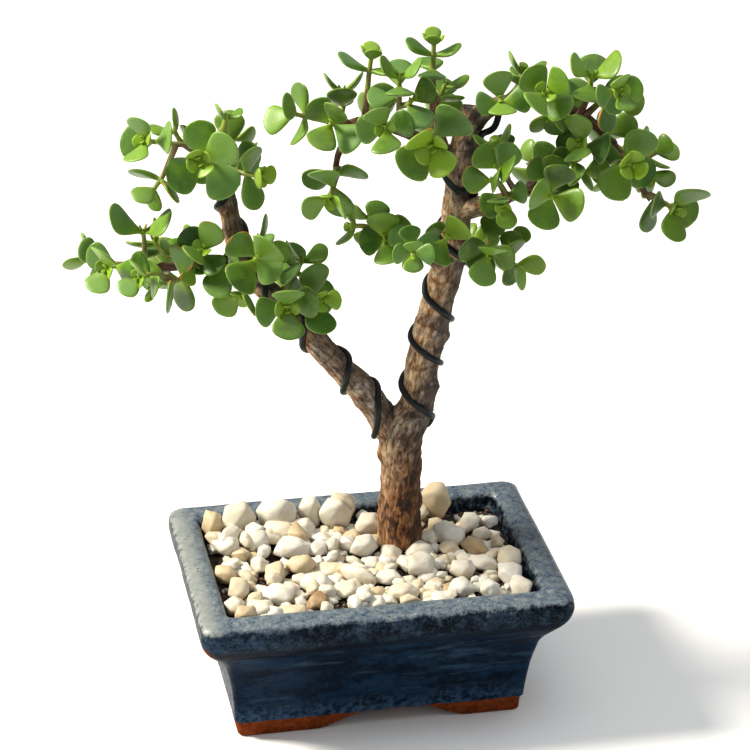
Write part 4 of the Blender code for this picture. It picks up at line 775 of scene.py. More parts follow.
def clear_leaf(rows, back, turn, tilt, length, node, placed, solids):
    """The first of a leaf's tries that touches nothing, as a Placed, or None."""
    for around, lean, scale in LEAF_TRIES:
        leaf = posed_leaf(rows, back, turn + around, tilt + lean, length * scale)
        middle = leaf.root + leaf.along * leaf.length / 2
        whole = BVHTree.FromPolygons(*leaf_cage(leaf, LEAF_MARGIN))
        blade = BVHTree.FromPolygons(*leaf_cage(leaf, LEAF_MARGIN, ROOT_SHARE))
        if any(blade.overlap(solid) for solid in solids):
            continue
        reach = LEAF_REACH * leaf.length
        near = [other for other in placed if (other.middle - middle).length < other.reach + reach]
        strangers = [other.whole for other in near if other.node != node]
        siblings = [other.blade for other in near if other.node == node]
        if not any(whole.overlap(other) for other in strangers) and not any(map(blade.overlap, siblings)):
            return Placed(leaf, node, middle, reach, whole, blade)
    return None


def plan_leaves(stems, stem_surfaces, bark, wire):
    """Every shoot's leaves, each turned, leant or shrunk until it clears its neighbours, or left out."""
    draw = random.Random(SEED + 1)
    placed = []
    leaves = {name: [] for name in stems}
    for shoot in all_shoots():
        rows = stems[shoot.name]
        node = node_of(shoot)
        solids = [bark, wire] + [stem_surfaces[name] for name in stems if name != shoot.name]
        for pair in range(shoot.pairs):
            back = leafy_length(pair + 1, shoot.leaf * MM)
            share = PAIR_LENGTHS[pair] or shoot.young
            for side in (0, 180):
                length = shoot.leaf * MM * share * draw.uniform(0.9, 1.06)
                tilt = PAIR_TILTS[pair] + draw.uniform(-7, 7)
                turn = shoot.turn + 90 * pair + side + draw.uniform(-9, 9)
                found = clear_leaf(rows, back, turn, tilt, length, node, placed, solids)
                if found:
                    placed.append(found)
                    leaves[shoot.name].append((found.leaf, pair))
    return leaves


class Gather:
    """One mesh, gathered from many small ones, with values at each point for its materials."""

    def __init__(self, *values):
        self.points = []
        self.faces = []
        self.slots = []
        self.values = {name: [] for name in values}

    def add(self, points, faces, slot=0, **values):
        first = len(self.points)
        self.points += points
        self.faces += [[first + i for i in face] for face in faces]
        self.slots += [slot] * len(faces)
        for name, held in self.values.items():
            given = values[name]
            held += given if isinstance(given, list) else [given] * len(points)

    def surface(self):
        """A search tree over the faces so far."""
        return BVHTree.FromPolygons(self.points, self.faces)

    def build(self, name, materials, place):
        """The object, moved from its own frame to its place."""
        mesh = bpy.data.meshes.new(name)
        mesh.from_pydata(self.points, [], self.faces)
        mesh.polygons.foreach_set("material_index", self.slots)
        for value, held in self.values.items():
            mesh.attributes.new(value, "FLOAT", "POINT").data.foreach_set("value", held)
        return finish_piece(name, mesh, materials, place)


def finish_piece(name, mesh, materials, place):
    """A smooth-shaded object in the scene, from a mesh in its own frame."""
    mesh.transform(place)
    mesh.shade_smooth()
    for material in materials:
        mesh.materials.append(material)
    obj = bpy.data.objects.new(name, mesh)
    bpy.context.scene.collection.objects.link(obj)
    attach(obj, "root")
    return obj


def modified(mesh, kind, **settings):
    """A copy of the mesh after one modifier."""
    obj = bpy.data.objects.new("modified", mesh)
    bpy.context.scene.collection.objects.link(obj)
    modifier = obj.modifiers.new(kind, kind)
    for name, value in settings.items():
        setattr(modifier, name, value)
    graph = bpy.context.evaluated_depsgraph_get()
    result = bpy.data.meshes.new_from_object(obj.evaluated_get(graph))
    bpy.data.objects.remove(obj)
    return result


def coordinates(mesh):
    points = np.empty(len(mesh.vertices) * 3)
    mesh.vertices.foreach_get("co", points)
    return points.reshape(-1, 3)


def set_coordinates(mesh, points):
    mesh.vertices.foreach_set("co", points.ravel())
    mesh.update()


def normals(mesh):
    found = np.empty(len(mesh.vertices) * 3)
    mesh.vertex_normals.foreach_get("vector", found)
    return found.reshape(-1, 3)


def noise_at(points, size, seed=0.0, depth=1):
    """Noise from -1 to 1 at each point, with features of about this size."""
    if depth == 1:
        return np.array([noise.noise(Vector(point) / size + Vector((seed, 0, 0))) for point in points])
    return np.array(
        [noise.fractal(Vector(point) / size + Vector((seed, 0, 0)), 1.0, 2.0, depth) for point in points]
    )


def set_values(mesh, **values):
    for name, held in values.items():
        mesh.attributes.new(name, "FLOAT", "POINT").data.foreach_set("value", held.astype(np.float32))


def set_vectors(mesh, **values):
    for name, held in values.items():
        data = mesh.attributes.new(name, "FLOAT_VECTOR", "POINT").data
        data.foreach_set("vector", held.astype(np.float32).ravel())


def sweep(rows, sides):
    """Points and faces of a round tube along rows of (x, y, z, radius), with a domed tip and a flat foot."""
    points = []
    across = (rows[1].xyz - rows[0].xyz).orthogonal().normalized()
    for i, row in enumerate(rows):
        onward = (rows[min(i + 1, len(rows) - 1)].xyz - rows[max(i - 1, 0)].xyz).normalized()
        across = (across - onward * across.dot(onward)).normalized()
        other = onward.cross(across)
        for side in range(sides):
            angle = math.tau * side / sides
            points.append(row.xyz + (across * math.cos(angle) + other * math.sin(angle)) * row.w)
    faces = []
    for i in range(len(rows) - 1):
        for side in range(sides):
            after = (side + 1) % sides
            low, high = i * sides, (i + 1) * sides
            faces.append((low + side, low + after, high + after, high + side))
    faces.append(tuple(reversed(range(sides))))
    faces.append(tuple(range(len(points) - sides, len(points))))
    return points, faces


def domed(rows):
    """The rows, with a rounded end after the last."""
    last, before = rows[-1], rows[-2]
    onward = (last.xyz - before.xyz).normalized()
    ends = [Vector((*(last.xyz + onward * last.w * rise), last.w * wide)) for rise, wide in DOME]
    return rows + ends


def blade_grid():
    """Shares along a blade, and the cosine and sine round it, for every point of its rings."""
    rings = np.arange(BLADE_RINGS) + 0.6  # the first ring and the last stand off the ends
    shares = 0.5 - 0.5 * np.cos(np.pi * rings / (BLADE_RINGS + 0.2))
    angles = np.arange(BLADE_SIDES) / BLADE_SIDES * math.tau
    share, angle = np.meshgrid(shares, angles, indexing="ij")
    return share.ravel(), np.cos(angle).ravel(), np.sin(angle).ravel()


def blade_faces():
    """The faces of any blade: its foot's fan, its rings and its tip's fan."""
    faces = []
    last = BLADE_RINGS * BLADE_SIDES
    for side in range(BLADE_SIDES):
        after = (side + 1) % BLADE_SIDES
        faces.append((last, after, side))
        for ring in range(BLADE_RINGS - 1):
            low, high = ring * BLADE_SIDES, (ring + 1) * BLADE_SIDES
            faces.append((low + side, low + after, high + after, high + side))
        faces.append((last + 1, last - BLADE_SIDES + side, last - BLADE_SIDES + after))
    return faces


def add_blade(gather, leaf, youth, draw):
    """One fine leaf on the frame of a planned one."""
    share, cosine, sine = BLADE_GRID
    half = leaf.length * LEAF_WIDTH / 2 * draw.uniform(0.97, 1.03)
    thick = LEAF_THICKNESS / 2 * min(1, 0.25 + 0.75 * leaf.length / FULL_LEAF)
    peak = draw.uniform(*BLADE_PEAK)
    fullness = draw.uniform(*BLADE_ROUND)
    wave = BLADE_WAVE * np.sin(3 * np.arctan2(sine, cosine) + draw.uniform(0, 6)) * share
    lean = draw.uniform(-0.08, 0.08)
    outline = np.sin(np.pi * share**peak) ** fullness
    foot = 0.16 * (1 - share) ** 3
    wide = half * np.maximum(outline * (1 + wave), foot)
    plump = thick * (np.maximum(np.sin(np.pi * share**0.8), 0) ** 0.42 * 0.9 + 0.1 * (1 - share))
    sideways = wide * np.sign(cosine) * np.abs(cosine) ** BLADE_EDGE
    depth = plump * sine * np.where(sine > 0, BLADE_TOP, 2 - BLADE_TOP)
    edge = sideways / half
    bow = LEAF_BOW * leaf.length * np.sin(np.pi * share)
    rise = depth + BLADE_DISH * half * edge**2 - bow + draw.uniform(-0.05, 0.05) * sideways
    sideways = sideways + lean * leaf.length * share**2
    frame_axes = np.array([leaf.along * leaf.length, leaf.across, leaf.face])
    spots = np.stack([share, sideways, rise], -1) @ frame_axes + np.array(leaf.root)
    foot_point = leaf.root
    tip_share = float(share.max()) * 0.35 + 0.65
    tip_point = Vector(spots[-BLADE_SIDES:].mean(0)) + leaf.along * leaf.length * (1 - tip_share)
    points = [Vector(spot) for spot in spots] + [foot_point, tip_point]
    rim = np.abs(cosine) ** 6 * np.minimum(1, share * 3)
    rim = np.maximum(rim, np.clip((share - 0.93) / 0.07, 0, 1))
    gather.add(
        points,
        BLADE_FACES,
        0,
        share=[*share.tolist(), 0.0, 1.0],
        rim=[*rim.tolist(), 0.0, 1.0],
        under=[*(sine < -0.05).astype(float).tolist(), 0.5, 0.5],
        tone=draw.random(),
        youth=youth,
        woody=0.0,
    )


def fine_stem(rows, bark, on_wood):
    """A stem's rows, close together, with its foot sunk into what carries it."""
    rows = list(rows)
    if on_wood:
        foot, normal, _, _ = bark.find_nearest(rows[0].xyz)
        rows.insert(0, Vector((*(foot - normal * STEM_SUNK), rows[0].w)))
    return smooth_run(rows, STEM_RING)


def add_stem(gather, shoot, rows, bark, on_wood, draw):
    """One fine stem, swollen where it leaves its limb and where each pair of leaves grows."""
    run = fine_stem(rows, bark, on_wood)
    lengths = [0.0]
    for here, after in zip(run, run[1:]):
        lengths.append(lengths[-1] + (after.xyz - here.xyz).length)
    whole = lengths[-1]
    nodes = [leafy_length(pair + 1, shoot.leaf * MM) for pair in range(shoot.pairs)]
    woody = []
    for row, length in zip(run, lengths):
        back = whole - length
        swell = sum(math.exp(-(((back - node) / (0.9 * MM)) ** 2)) for node in nodes)
        collar = STEM_COLLAR * math.exp(-length / (1.6 * MM)) if on_wood else 0
        row.w *= 0.94 + 0.16 * min(1, swell) + collar
        woody.append(min(1, max(0, back / (34 * MM))))
    run = domed(run)
    woody += [0.0] * (len(run) - len(woody))
    points, faces = sweep(run, STEM_SIDES)
    spread = [value for value in woody for _ in range(STEM_SIDES)]
    gather.add(points, faces, 1, share=0.0, rim=0.0, under=0.5, tone=draw.random(), youth=0.5, woody=spread)


def bud_pairs(shoot, rows, draw):
    """The small leaves at a shoot's tip, crossed on its first pair."""
    leaves = []
    opened = draw.random() < OPEN_BUDS
    for place, (share, lean) in enumerate(BUD_LEAVES):
        if place == 0 and not opened:
            continue
        for side in (0, 180):
            turn = shoot.turn + 90 * (place + 1) + side + draw.uniform(-8, 8)
            length = shoot.leaf * MM * share * draw.uniform(0.85, 1.15)
            leaf = posed_leaf(rows, 0.4 * MM, turn, lean + draw.uniform(-6, 10), length)
            leaves.append(leaf._replace(root=leaf.root + place * BUD_RISE * leaf.along))
    return leaves


def make_foliage(stems, leaves, bark, materials):
    """One fine piece for each packed spray: its stems, its leaves and the small ones at its tips."""
    draw = random.Random(SEED + 3)
    members = {}
    for shoot in all_shoots():
        members.setdefault(node_of(shoot), []).append(shoot)
    for node, shoots in members.items():
        gather = Gather("share", "rim", "under", "tone", "youth", "woody")
        for shoot in shoots:
            rows = stems[shoot.name]
            add_stem(gather, shoot, rows, bark, shoot.carrier in LIMBS, draw)
            for leaf, pair in leaves[shoot.name]:
                youth = PAIR_YOUTH[pair] + (0.3 if pair == 0 and shoot.young < 0.8 else 0)
                add_blade(gather, leaf, max(0, youth + draw.uniform(-0.15, 0.15)), draw)
            for leaf in bud_pairs(shoot, rows, draw):
                add_blade(gather, leaf, 0.8, draw)
        piece = gather.build("leafy_" + node, materials, TREE_FRAME)
        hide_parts("spray_" + node)


def seated_wire(rows, wood):
    """The wire's rows, laid on the fine bark wherever they pass close over it."""
    seated = []
    for row in rows:
        spot, _, _, distance = wood.find_nearest(row.xyz)
        off = (row.xyz - spot).normalized() * WIRE_RADIUS * WIRE_SUNK if distance < WIRE_NEAR else row.xyz - spot
        seated.append(spot + off)
    for _ in range(6):
        inner = [(before + 2 * here + after) / 4 for before, here, after in zip(seated, seated[1:], seated[2:])]
        seated = [seated[0], *inner, seated[-1]]
    return [Vector((*spot, row.w * WIRE_STOUT)) for spot, row in zip(seated, rows)]


def make_wire(run, wood, material):
    """The training wire, round and smooth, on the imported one's line."""
    rows = domed(seated_wire(smooth_run(run, WIRE_RING), wood))
    rows = domed(rows[::-1])
    points, faces = sweep(rows, WIRE_SIDES)
    gather = Gather()
    gather.add(points, faces)
    piece = gather.build("round_training_wire", [material], TREE_FRAME)
    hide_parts("training_wire")


def nearest_on_limbs(points, runs):
    """For each point, on the limb that it belongs to: place along, way out, radius and its limb's axes."""
    best = np.full(len(points), np.inf)
    along = np.zeros(len(points))
    radius = np.zeros(len(points))
    space = np.zeros((len(points), 3))
    thickest = np.zeros(len(points))
    for offset, rows in enumerate(runs.values()):
        start = 0.0
        for here, after in zip(rows, rows[1:]):
            step = np.array(after.xyz - here.xyz)
            length = np.linalg.norm(step)
            onward = step / length
            local = points - np.array(here.xyz)
            place = np.clip(local @ onward, 0, length)
            out = local - place[:, None] * onward
            distance = np.linalg.norm(out, axis=1)
            here_radius = here.w + (after.w - here.w) * place / length
            excess = distance - here_radius
            closer = excess < best
            if closer.any():
                front = np.array((0.0, -1.0, 0.0))
                front = front - onward * front.dot(onward)
                front /= np.linalg.norm(front)
                side = np.cross(onward, front)
                best[closer] = excess[closer]
                along[closer] = start + place[closer]
                radius[closer] = here_radius[closer]
                thickest[closer] = rows[0].w
                space[closer, 0] = offset * 0.3 + start + place[closer]
                space[closer, 1] = out[closer] @ front
                space[closer, 2] = out[closer] @ side
            start += length
    return along, radius, space


def bark_relief(points, along, radius, space):
    """How far the bark stands out at each point, in metres, and a colour value: paler on plates and lumps, darker in
    cracks, pits and hollows, partly the bark's own dark fissures and partly painted shade, and darker on ring scars.
    """
    girth = np.clip((radius - 2 * MM) / (4.5 * MM), 0, 1)
    low = np.clip((66 * MM - points[:, 2]) / (16 * MM), 0, 1)
    squeezed = space * np.array((0.3, 1, 1))
    edge = np.empty(len(points))
    plate = np.empty(len(points))
    for i, spot in enumerate(squeezed):
        where = Vector(spot) / (2.1 * MM)
        where += noise.noise_vector(where * 0.7) * 0.7
        distances, centres = noise.voronoi(where)
        edge[i] = distances[1] - distances[0]
        plate[i] = noise.cell(centres[0] * 7.3)
    crack = np.clip(edge / 0.3, 0, 1)
    fibre = noise_at(space * np.array((0.14, 1, 1)), 1.1 * MM, 3.0, 3)
    lumps = noise_at(points, 6.5 * MM, 7.0, 2)
    pits = np.clip((noise_at(points, 2.6 * MM, 12.0) - 0.42) / 0.15, 0, 1)
    band = along / (9.5 * MM) + 0.5 * noise_at(points, 9 * MM, 1.0)
    ring = np.exp(-((((band % 1) - 0.5) / 0.06) ** 2)) * (1 - low)
    relief = (0.42 * crack + 0.3 * plate) * girth * (0.18 + 0.82 * low)
    relief += (0.1 + 0.2 * low) * fibre * (0.4 + 0.6 * girth) + 0.75 * lumps * girth
    relief += (0.1 + 0.2 * girth) * ring - 0.35 * pits * girth
    # Partly painted shade: the colour value darkens in cracks, pits and the hollows between lumps, over the bark's own
    # darker fissures
    shade = 0.35 + 0.4 * crack * low + 0.3 * plate * (0.3 + 0.7 * low) + 0.3 * fibre + 0.25 * lumps
    shade = np.clip(shade - 0.35 * ring - 0.5 * pits + 0.25 * (1 - low) * crack, 0, 1)
    return (relief - 0.08) * MM * 0.85, shade


def patch_strength(points, patches):
    """How much each point is inside any of these soft round patches."""
    strength = np.zeros(len(points))
    for x, y, z, size in patches:
        away = np.linalg.norm(points - np.array((x, y, z)) * MM, axis=1) / (size * MM)
        strength = np.maximum(strength, np.exp(-(away**2)))
    return strength


def make_bark(runs, material):
    """The trunk and its limbs as one grown body with fissured bark, rings and knobs; gives its surface."""
    gather = Gather()
    for rows in runs.values():
        gather.add(*sweep(rows, LIMB_SIDES))
    mesh = bpy.data.meshes.new("limbs")
    mesh.from_pydata(gather.points, [], gather.faces)
    mesh = modified(mesh, "REMESH", mode="VOXEL", voxel_size=WOOD_VOXEL)
    mesh = modified(mesh, "SMOOTH", factor=0.5, iterations=6)
    points = coordinates(mesh)
    along, radius, space = nearest_on_limbs(points, runs)
    out, shade = bark_relief(points, along, radius, space)
    for x, y, z, size in KNOBS:
        away = np.linalg.norm(points - np.array((x, y, z)) * MM, axis=1) / (size * MM)
        out += KNOB_RISE * size * MM * np.exp(-(away**2))
    ragged = noise_at(points, 3.5 * MM, 21.0, 2) * 2.2 * MM
    set_values(
        mesh,
        shade=shade,
        girth=np.clip((radius - 1.4 * MM) / (5 * MM), 0, 1),
        height=points[:, 2] / (200 * MM),
        # Painted light: the creamy patches, and how far each point faces the key light, say where the bark is painted
        # paler and where darker
        cream=patch_strength(points + ragged[:, None], LIT_CREAM_PATCHES),
        bleached=normals(mesh) @ np.array(LIT_SIDE),
        ash=patch_strength(points - ragged[:, None], ASH_PATCHES),
    )
    set_vectors(mesh, bark_space=space)
    set_coordinates(mesh, points + normals(mesh) * out[:, None])
    surface = BVHTree.FromPolygons([v.co for v in mesh.vertices], [p.vertices[:] for p in mesh.polygons])
    piece = finish_piece("barked_wood", mesh, [material], TREE_FRAME)
    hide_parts("wood")
    return surface


def fine_ring(inset, height, arch=0.0):
    """A level ring of the pot with fine corners and walls, and its foot raised into the arches."""
    half_x = POT_WIDTH / 2 - inset
    half_y = POT_DEPTH / 2 - inset
    radius = max(RIM_CORNER - CORNER_FADE * inset, LEAST_CORNER)
    straight_x = round(2 * (POT_WIDTH / 2 - RIM_CORNER) / FINE_WALL_STEP)
    straight_y = round(2 * (POT_DEPTH / 2 - RIM_CORNER) / FINE_WALL_STEP)
    ring = []
    for quarter, (side_x, side_y) in enumerate(((1, 1), (-1, 1), (-1, -1), (1, -1))):
        corner = Vector((side_x * (half_x - radius), side_y * (half_y - radius)))
        for step in range(FINE_CORNER_STEPS):
            angle = math.radians(90 * (quarter + step / FINE_CORNER_STEPS))
            ring.append(corner + radius * Vector((math.cos(angle), math.sin(angle))))
        angle = math.radians(90 * (quarter + 1))
        start = corner + radius * Vector((math.cos(angle), math.sin(angle)))
        after_x, after_y = ((-1, 1), (-1, -1), (1, -1), (1, 1))[quarter]
        after = Vector((after_x * (half_x - radius), after_y * (half_y - radius)))
        end = after + radius * Vector((math.cos(angle), math.sin(angle)))
        count = straight_x if quarter % 2 == 0 else straight_y
        ring += [start.lerp(end, i / count) for i in range(count)]
    points = []
    for spot in ring:
        opened = max(arch_share(spot.x - ARCH_MIDDLE, FRONT_ARCH), arch_share(spot.y, SIDE_ARCH))
        foot = ARCH_TOP * opened * arch
        points.append(Vector((*spot, foot + height * (GLAZE_LINE - foot) / GLAZE_LINE if arch else height)))
    return points


def arch_share(place, width):
    """How open the arch is here, from 0 on its feet to 1 in its middle."""
    share = min(1, max(0, (ARCH_OPENS - abs(place) / width) / ARCH_SLOPE))
    return share * share * (3 - 2 * share)


def wall_rows(wall):
    """(inset, height) in metres along a smooth wall, in small steps."""
    knots = [Vector((inset, height, 0)) * MM for inset, height in wall]
    return [(row.x, row.y) for row in smooth_run(knots, FINE_RING_STEP)]


def make_fine_pot(material):
    """The glazed pot, with smooth arches between its feet and a hand-made waver in its walls."""
    foot_inset = OUTER_WALL[0][0] * MM
    rows = [fine_ring(foot_inset + FOOT_WALL, BASE_UNDERSIDE)]
    rows += [fine_ring(foot_inset + FOOT_WALL - 0.4 * MM, 0.6 * MM, 1), fine_ring(foot_inset + FOOT_WALL - 1 * MM, 0, 1)]
    rows += [fine_ring(foot_inset + 0.8 * MM, 0, 1), fine_ring(foot_inset + 0.1 * MM, 0.7 * MM, 1)]
    rows += [fine_ring(foot_inset - 0.1 * MM, 4 * MM, 1), fine_ring(foot_inset - 0.4 * MM, 7 * MM, 1)]
    rows += [fine_ring(inset, height) for inset, height in wall_rows(OUTER_WALL[2:])]
    rows += [fine_ring(inset, height) for inset, height in wall_rows(INNER_WALL[::-1])]
    count = len(rows[0])
    points = [point for row in rows for point in row]
    faces = []
    for i in range(len(rows) - 1):
        for k in range(count):
            after = (k + 1) % count
            faces.append((i * count + k, i * count + after, (i + 1) * count + after, (i + 1) * count + k))
    faces.append(tuple(reversed(range(count))))
    faces.append(tuple(range(len(points) - count, len(points))))
    mesh = bpy.data.meshes.new("glazed_pot")
    mesh.from_pydata(points, [], faces)
    spots = coordinates(mesh)
    above = np.clip((spots[:, 2] - GLAZE_LINE) / (8 * MM), 0, 1)
    waver = noise_at(spots, 26 * MM, 2.0) * POT_WOBBLE + noise_at(spots, 6 * MM, 5.0) * 0.22 * POT_WOBBLE
    inward = np.minimum(waver - 0.12 * MM, 0.1 * MM)
    spots += normals(mesh) * (inward * above)[:, None]
    low = np.array((-POT_WIDTH / 2, -POT_DEPTH / 2, 0))
    set_coordinates(mesh, np.clip(spots, low, np.array((POT_WIDTH / 2, POT_DEPTH / 2, POT_HEIGHT))))
    drains = bmesh.new()
    for side in (-1, 1):
        place = Matrix.Translation((side * DRAIN_FROM_MIDDLE, 0, POT_FLOOR))
        bmesh.ops.create_cone(
            drains,
            cap_ends=True,
            segments=DRAIN_FINE_SIDES,
            radius1=DRAIN_WIDTH / 2,
            radius2=DRAIN_WIDTH / 2,
            depth=2 * POT_FLOOR,
            matrix=place,
        )
    cutter = bpy.data.objects.new("drains", mesh_from("drains", drains))
    mesh = modified(mesh, "BOOLEAN", operation="DIFFERENCE", solver="EXACT", object=cutter)
    bpy.data.objects.remove(cutter)
    spots = coordinates(mesh)
    # How far each face looks up and how far left it lies, for the glaze's painted light
    set_values(
        mesh,
        up=normals(mesh)[:, 2],
        left=-spots[:, 0] / POT_WIDTH * 2,
        missed=patch_strength(spots, BARE_CLAY),
        haze=patch_strength(spots, HAZE_PATCHES),
    )
    piece = finish_piece("glazed_pot", mesh, [material], POT_FRAME)
    piece.data.set_sharp_from_angle(angle=SHARP_ANGLE)
    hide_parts("pot")


def blocky(chip, corners, grow):
    """The corners, moved out towards those of the chip's box, so that it looks broken and not turned."""
    turn = Matrix.Rotation(chip.turn, 3, "Z") @ Matrix.Rotation(chip.lean, 3, "X")
    moved = []
    for corner in corners:
        local = turn.transposed() @ (corner - chip.middle)
        share = Vector([part / half for part, half in zip(local, chip.halves)])
        out = share.length / max(abs(part) for part in share)
        local = local * Vector(grow) * (1 + (out - 1) * CHIP_BLOCKY)
        moved.append(kept_off_wall(chip.middle + turn @ (local * (1 - 0.12 * CHIP_BLOCKY))))
    return moved


def hull_into(gather, corners, tint):
    """Adds the hull of these corners."""
    shape = bmesh.new()
    for corner in corners:
        shape.verts.new(corner)
    hull = bmesh.ops.convex_hull(shape, input=shape.verts)
    spare = {item for item in hull["geom_interior"] if isinstance(item, bmesh.types.BMVert)}
    bmesh.ops.delete(shape, geom=list(spare), context="VERTS")
    shape.verts.index_update()
    gather.add([v.co.copy() for v in shape.verts], [[v.index for v in face.verts] for face in shape.faces], tint=tint)
    shape.free()


def soft_chips(gather):
    """The gathered hulls as one mesh with worn edges."""
    mesh = bpy.data.meshes.new("chips")
    mesh.from_pydata(gather.points, [], gather.faces)
    mesh.attributes.new("tint", "FLOAT", "POINT").data.foreach_set("value", gather.values["tint"])
    crease = mesh.attributes.new("crease_edge", "FLOAT", "EDGE")
    crease.data.foreach_set("value", [CHIP_CREASE] * len(mesh.edges))
    return modified(mesh, "SUBSURF", levels=CHIP_LEVELS, render_levels=CHIP_LEVELS)


def roomy(chip, others):
    """The chip, drawn in where others lie too near."""
    reach = chip.halves.x * CHIP_GROW[0]
    room = reach
    for other in others:
        apart = math.dist(chip.middle, other.middle) - CHIP_CROWD * (other.halves.x + other.halves.y) / 2
        room = min(room, apart)
    return chip._replace(halves=chip.halves * max(LEAST_CHIP, room / reach))


def small_chips(hull, draw):
    """Chips for the lower places between the large ones, off the bare soil and the trunk."""
    half_x = POT_WIDTH / 2 - inner_inset(SOIL_TOP) - 4 * MM
    half_y = POT_DEPTH / 2 - inner_inset(SOIL_TOP) - 4 * MM
    chips = []
    for _ in range(SMALL_CHIPS):
        spots = [Vector((draw.uniform(-half_x, half_x), draw.uniform(-half_y, half_y), 0)) for _ in range(3)]
        spot = min(spots, key=lambda point: ground_height(hull, point))
        size = draw.uniform(*SMALL_CHIP_RADIUS)
        halves = size * Vector((1.1, draw.uniform(0.75, 1), draw.uniform(0.6, 0.85)))
        ground = ground_height(hull, spot)
        if ground > SOIL_TOP + SMALL_CHIP_LIFT:
            continue
        spot.z = ground + size * 0.3
        chip = Chip(spot, halves, draw.uniform(0, math.tau), draw.uniform(-1, 1) * CHIP_LEAN)
        bare = any(math.dist((spot.x / MM, spot.y / MM), place[:2]) < 0.8 * place[2] for place in BARE_SOIL)
        if not bare and math.dist(spot.xy, TREE_PLACE) > TRUNK_HOLE + size * 0.6:
            chips.append(chip)
    return chips


def heap_chips(hull, draw):
    """Chips that lie on the others where they are heaped against the back wall."""
    chips = []
    for _ in range(HEAP_CHIPS):
        spots = [Vector((draw.uniform(*HEAP_RIGHT), draw.uniform(*HEAP_AWAY), 0)) for _ in range(2)]
        spot = min(spots, key=lambda point: ground_height(hull, point))
        size = draw.uniform(*HEAP_RADIUS)
        halves = size * Vector((1.25, draw.uniform(0.9, 1.1), draw.uniform(0.75, 0.95)))
        spot.z = ground_height(hull, spot) + size * 0.12
        if spot.z < SOIL_TOP + 9 * MM:
            chips.append(Chip(spot, halves, draw.uniform(0, math.tau), draw.uniform(-1, 1) * CHIP_LEAN))
    return chips


def chip_tint(draw):
    """How brown a chip is; most are white."""
    return BROWNEST_CHIP * draw.random() ** 1.4


def make_chips(material):
    """The marble chips, each on its packed place, with smaller ones in the gaps between them."""
    draw = random.Random(CHIP_SEED)
    tints = random.Random(SEED + 4)
    big = Gather("tint")
    placed = []
    for i, chip in enumerate(chip_places(draw)):
        key = i < len(KEY_CHIPS)
        placed.append(chip if key else roomy(chip, placed))
        corners = blocky(placed[-1], chip_corners(placed[-1], draw), KEY_GROW if key else CHIP_GROW)
        hull_into(big, corners, KEY_TINTS[i] if key else chip_tint(tints))
    for chip in heap_chips(big.surface(), tints):
        hull_into(big, blocky(chip, chip_corners(chip, tints), CHIP_GROW), chip_tint(tints))
    hull = big.surface()
    small = Gather("tint")
    for chip in small_chips(hull, tints):
        hull_into(small, blocky(chip, chip_corners(chip, tints), CHIP_GROW), chip_tint(tints))
    meshes = [soft_chips(big), soft_chips(small)]
    for name, mesh in zip(("marble_chips", "small_marble_chips"), meshes):
        points = coordinates(mesh)
        depth = MM if name == "marble_chips" else 0.35 * MM
        rough = (noise_at(points, 4.4 * MM, 4.0, 3) * 0.42 + noise_at(points, 9 * MM, 9.0) * 0.4) * depth
        points += normals(mesh) * rough[:, None]
        points[:, 2] = np.maximum(points[:, 2], SOIL_TOP)
        set_coordinates(mesh, points)
        piece = finish_piece(name, mesh, [material], POT_FRAME)
        if name == "marble_chips":
            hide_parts("pebbles")
    return hull


def ground_height(surface, spot):
    """How high the chips, or the soil between them, reach at this spot."""
    hit, _, _, _ = surface.ray_cast(Vector((spot.x, spot.y, 2 * POT_HEIGHT)), Vector((0, 0, -1)))
    return hit.z if hit else SOIL_TOP


def make_crumbs(chips, material):
    """Grains of soil and grit on the soil that shows between the chips."""
    draw = random.Random(SEED + 5)
    grain = bmesh.new()
    bmesh.ops.create_icosphere(grain, subdivisions=1, radius=1)
    corners = [v.co.copy() for v in grain.verts]
    faces = [[v.index for v in face.verts] for face in grain.faces]
    grain.free()
    gather = Gather("tint")
    half_x = POT_WIDTH / 2 - inner_inset(SOIL_TOP) - 1 * MM
    half_y = POT_DEPTH / 2 - inner_inset(SOIL_TOP) - 1 * MM
    for _ in range(CRUMBS):
        spot = Vector((draw.uniform(-half_x, half_x), draw.uniform(-half_y, half_y), 0))
        size = CRUMB_RADIUS[0] + (CRUMB_RADIUS[1] - CRUMB_RADIUS[0]) * draw.random() ** 3
        lift = ground_height(chips, spot)
        if lift > SOIL_TOP + 0.4 * MM:
            continue
        if math.dist(spot.xy, TREE_PLACE) < 7 * MM:
            continue
        spot.z = lift + size * draw.uniform(0, 0.9)
        turn = Matrix.Rotation(draw.uniform(0, math.tau), 3, Vector((draw.random(), draw.random(), 1)))
        stretch = Vector((1, draw.uniform(0.6, 1), draw.uniform(0.5, 0.9)))
        points = [spot + size * draw.uniform(0.75, 1.1) * (turn @ (corner * stretch)) for corner in corners]
        gather.add(points, faces, tint=draw.random())
    piece = gather.build("soil_crumbs", [material], POT_FRAME)


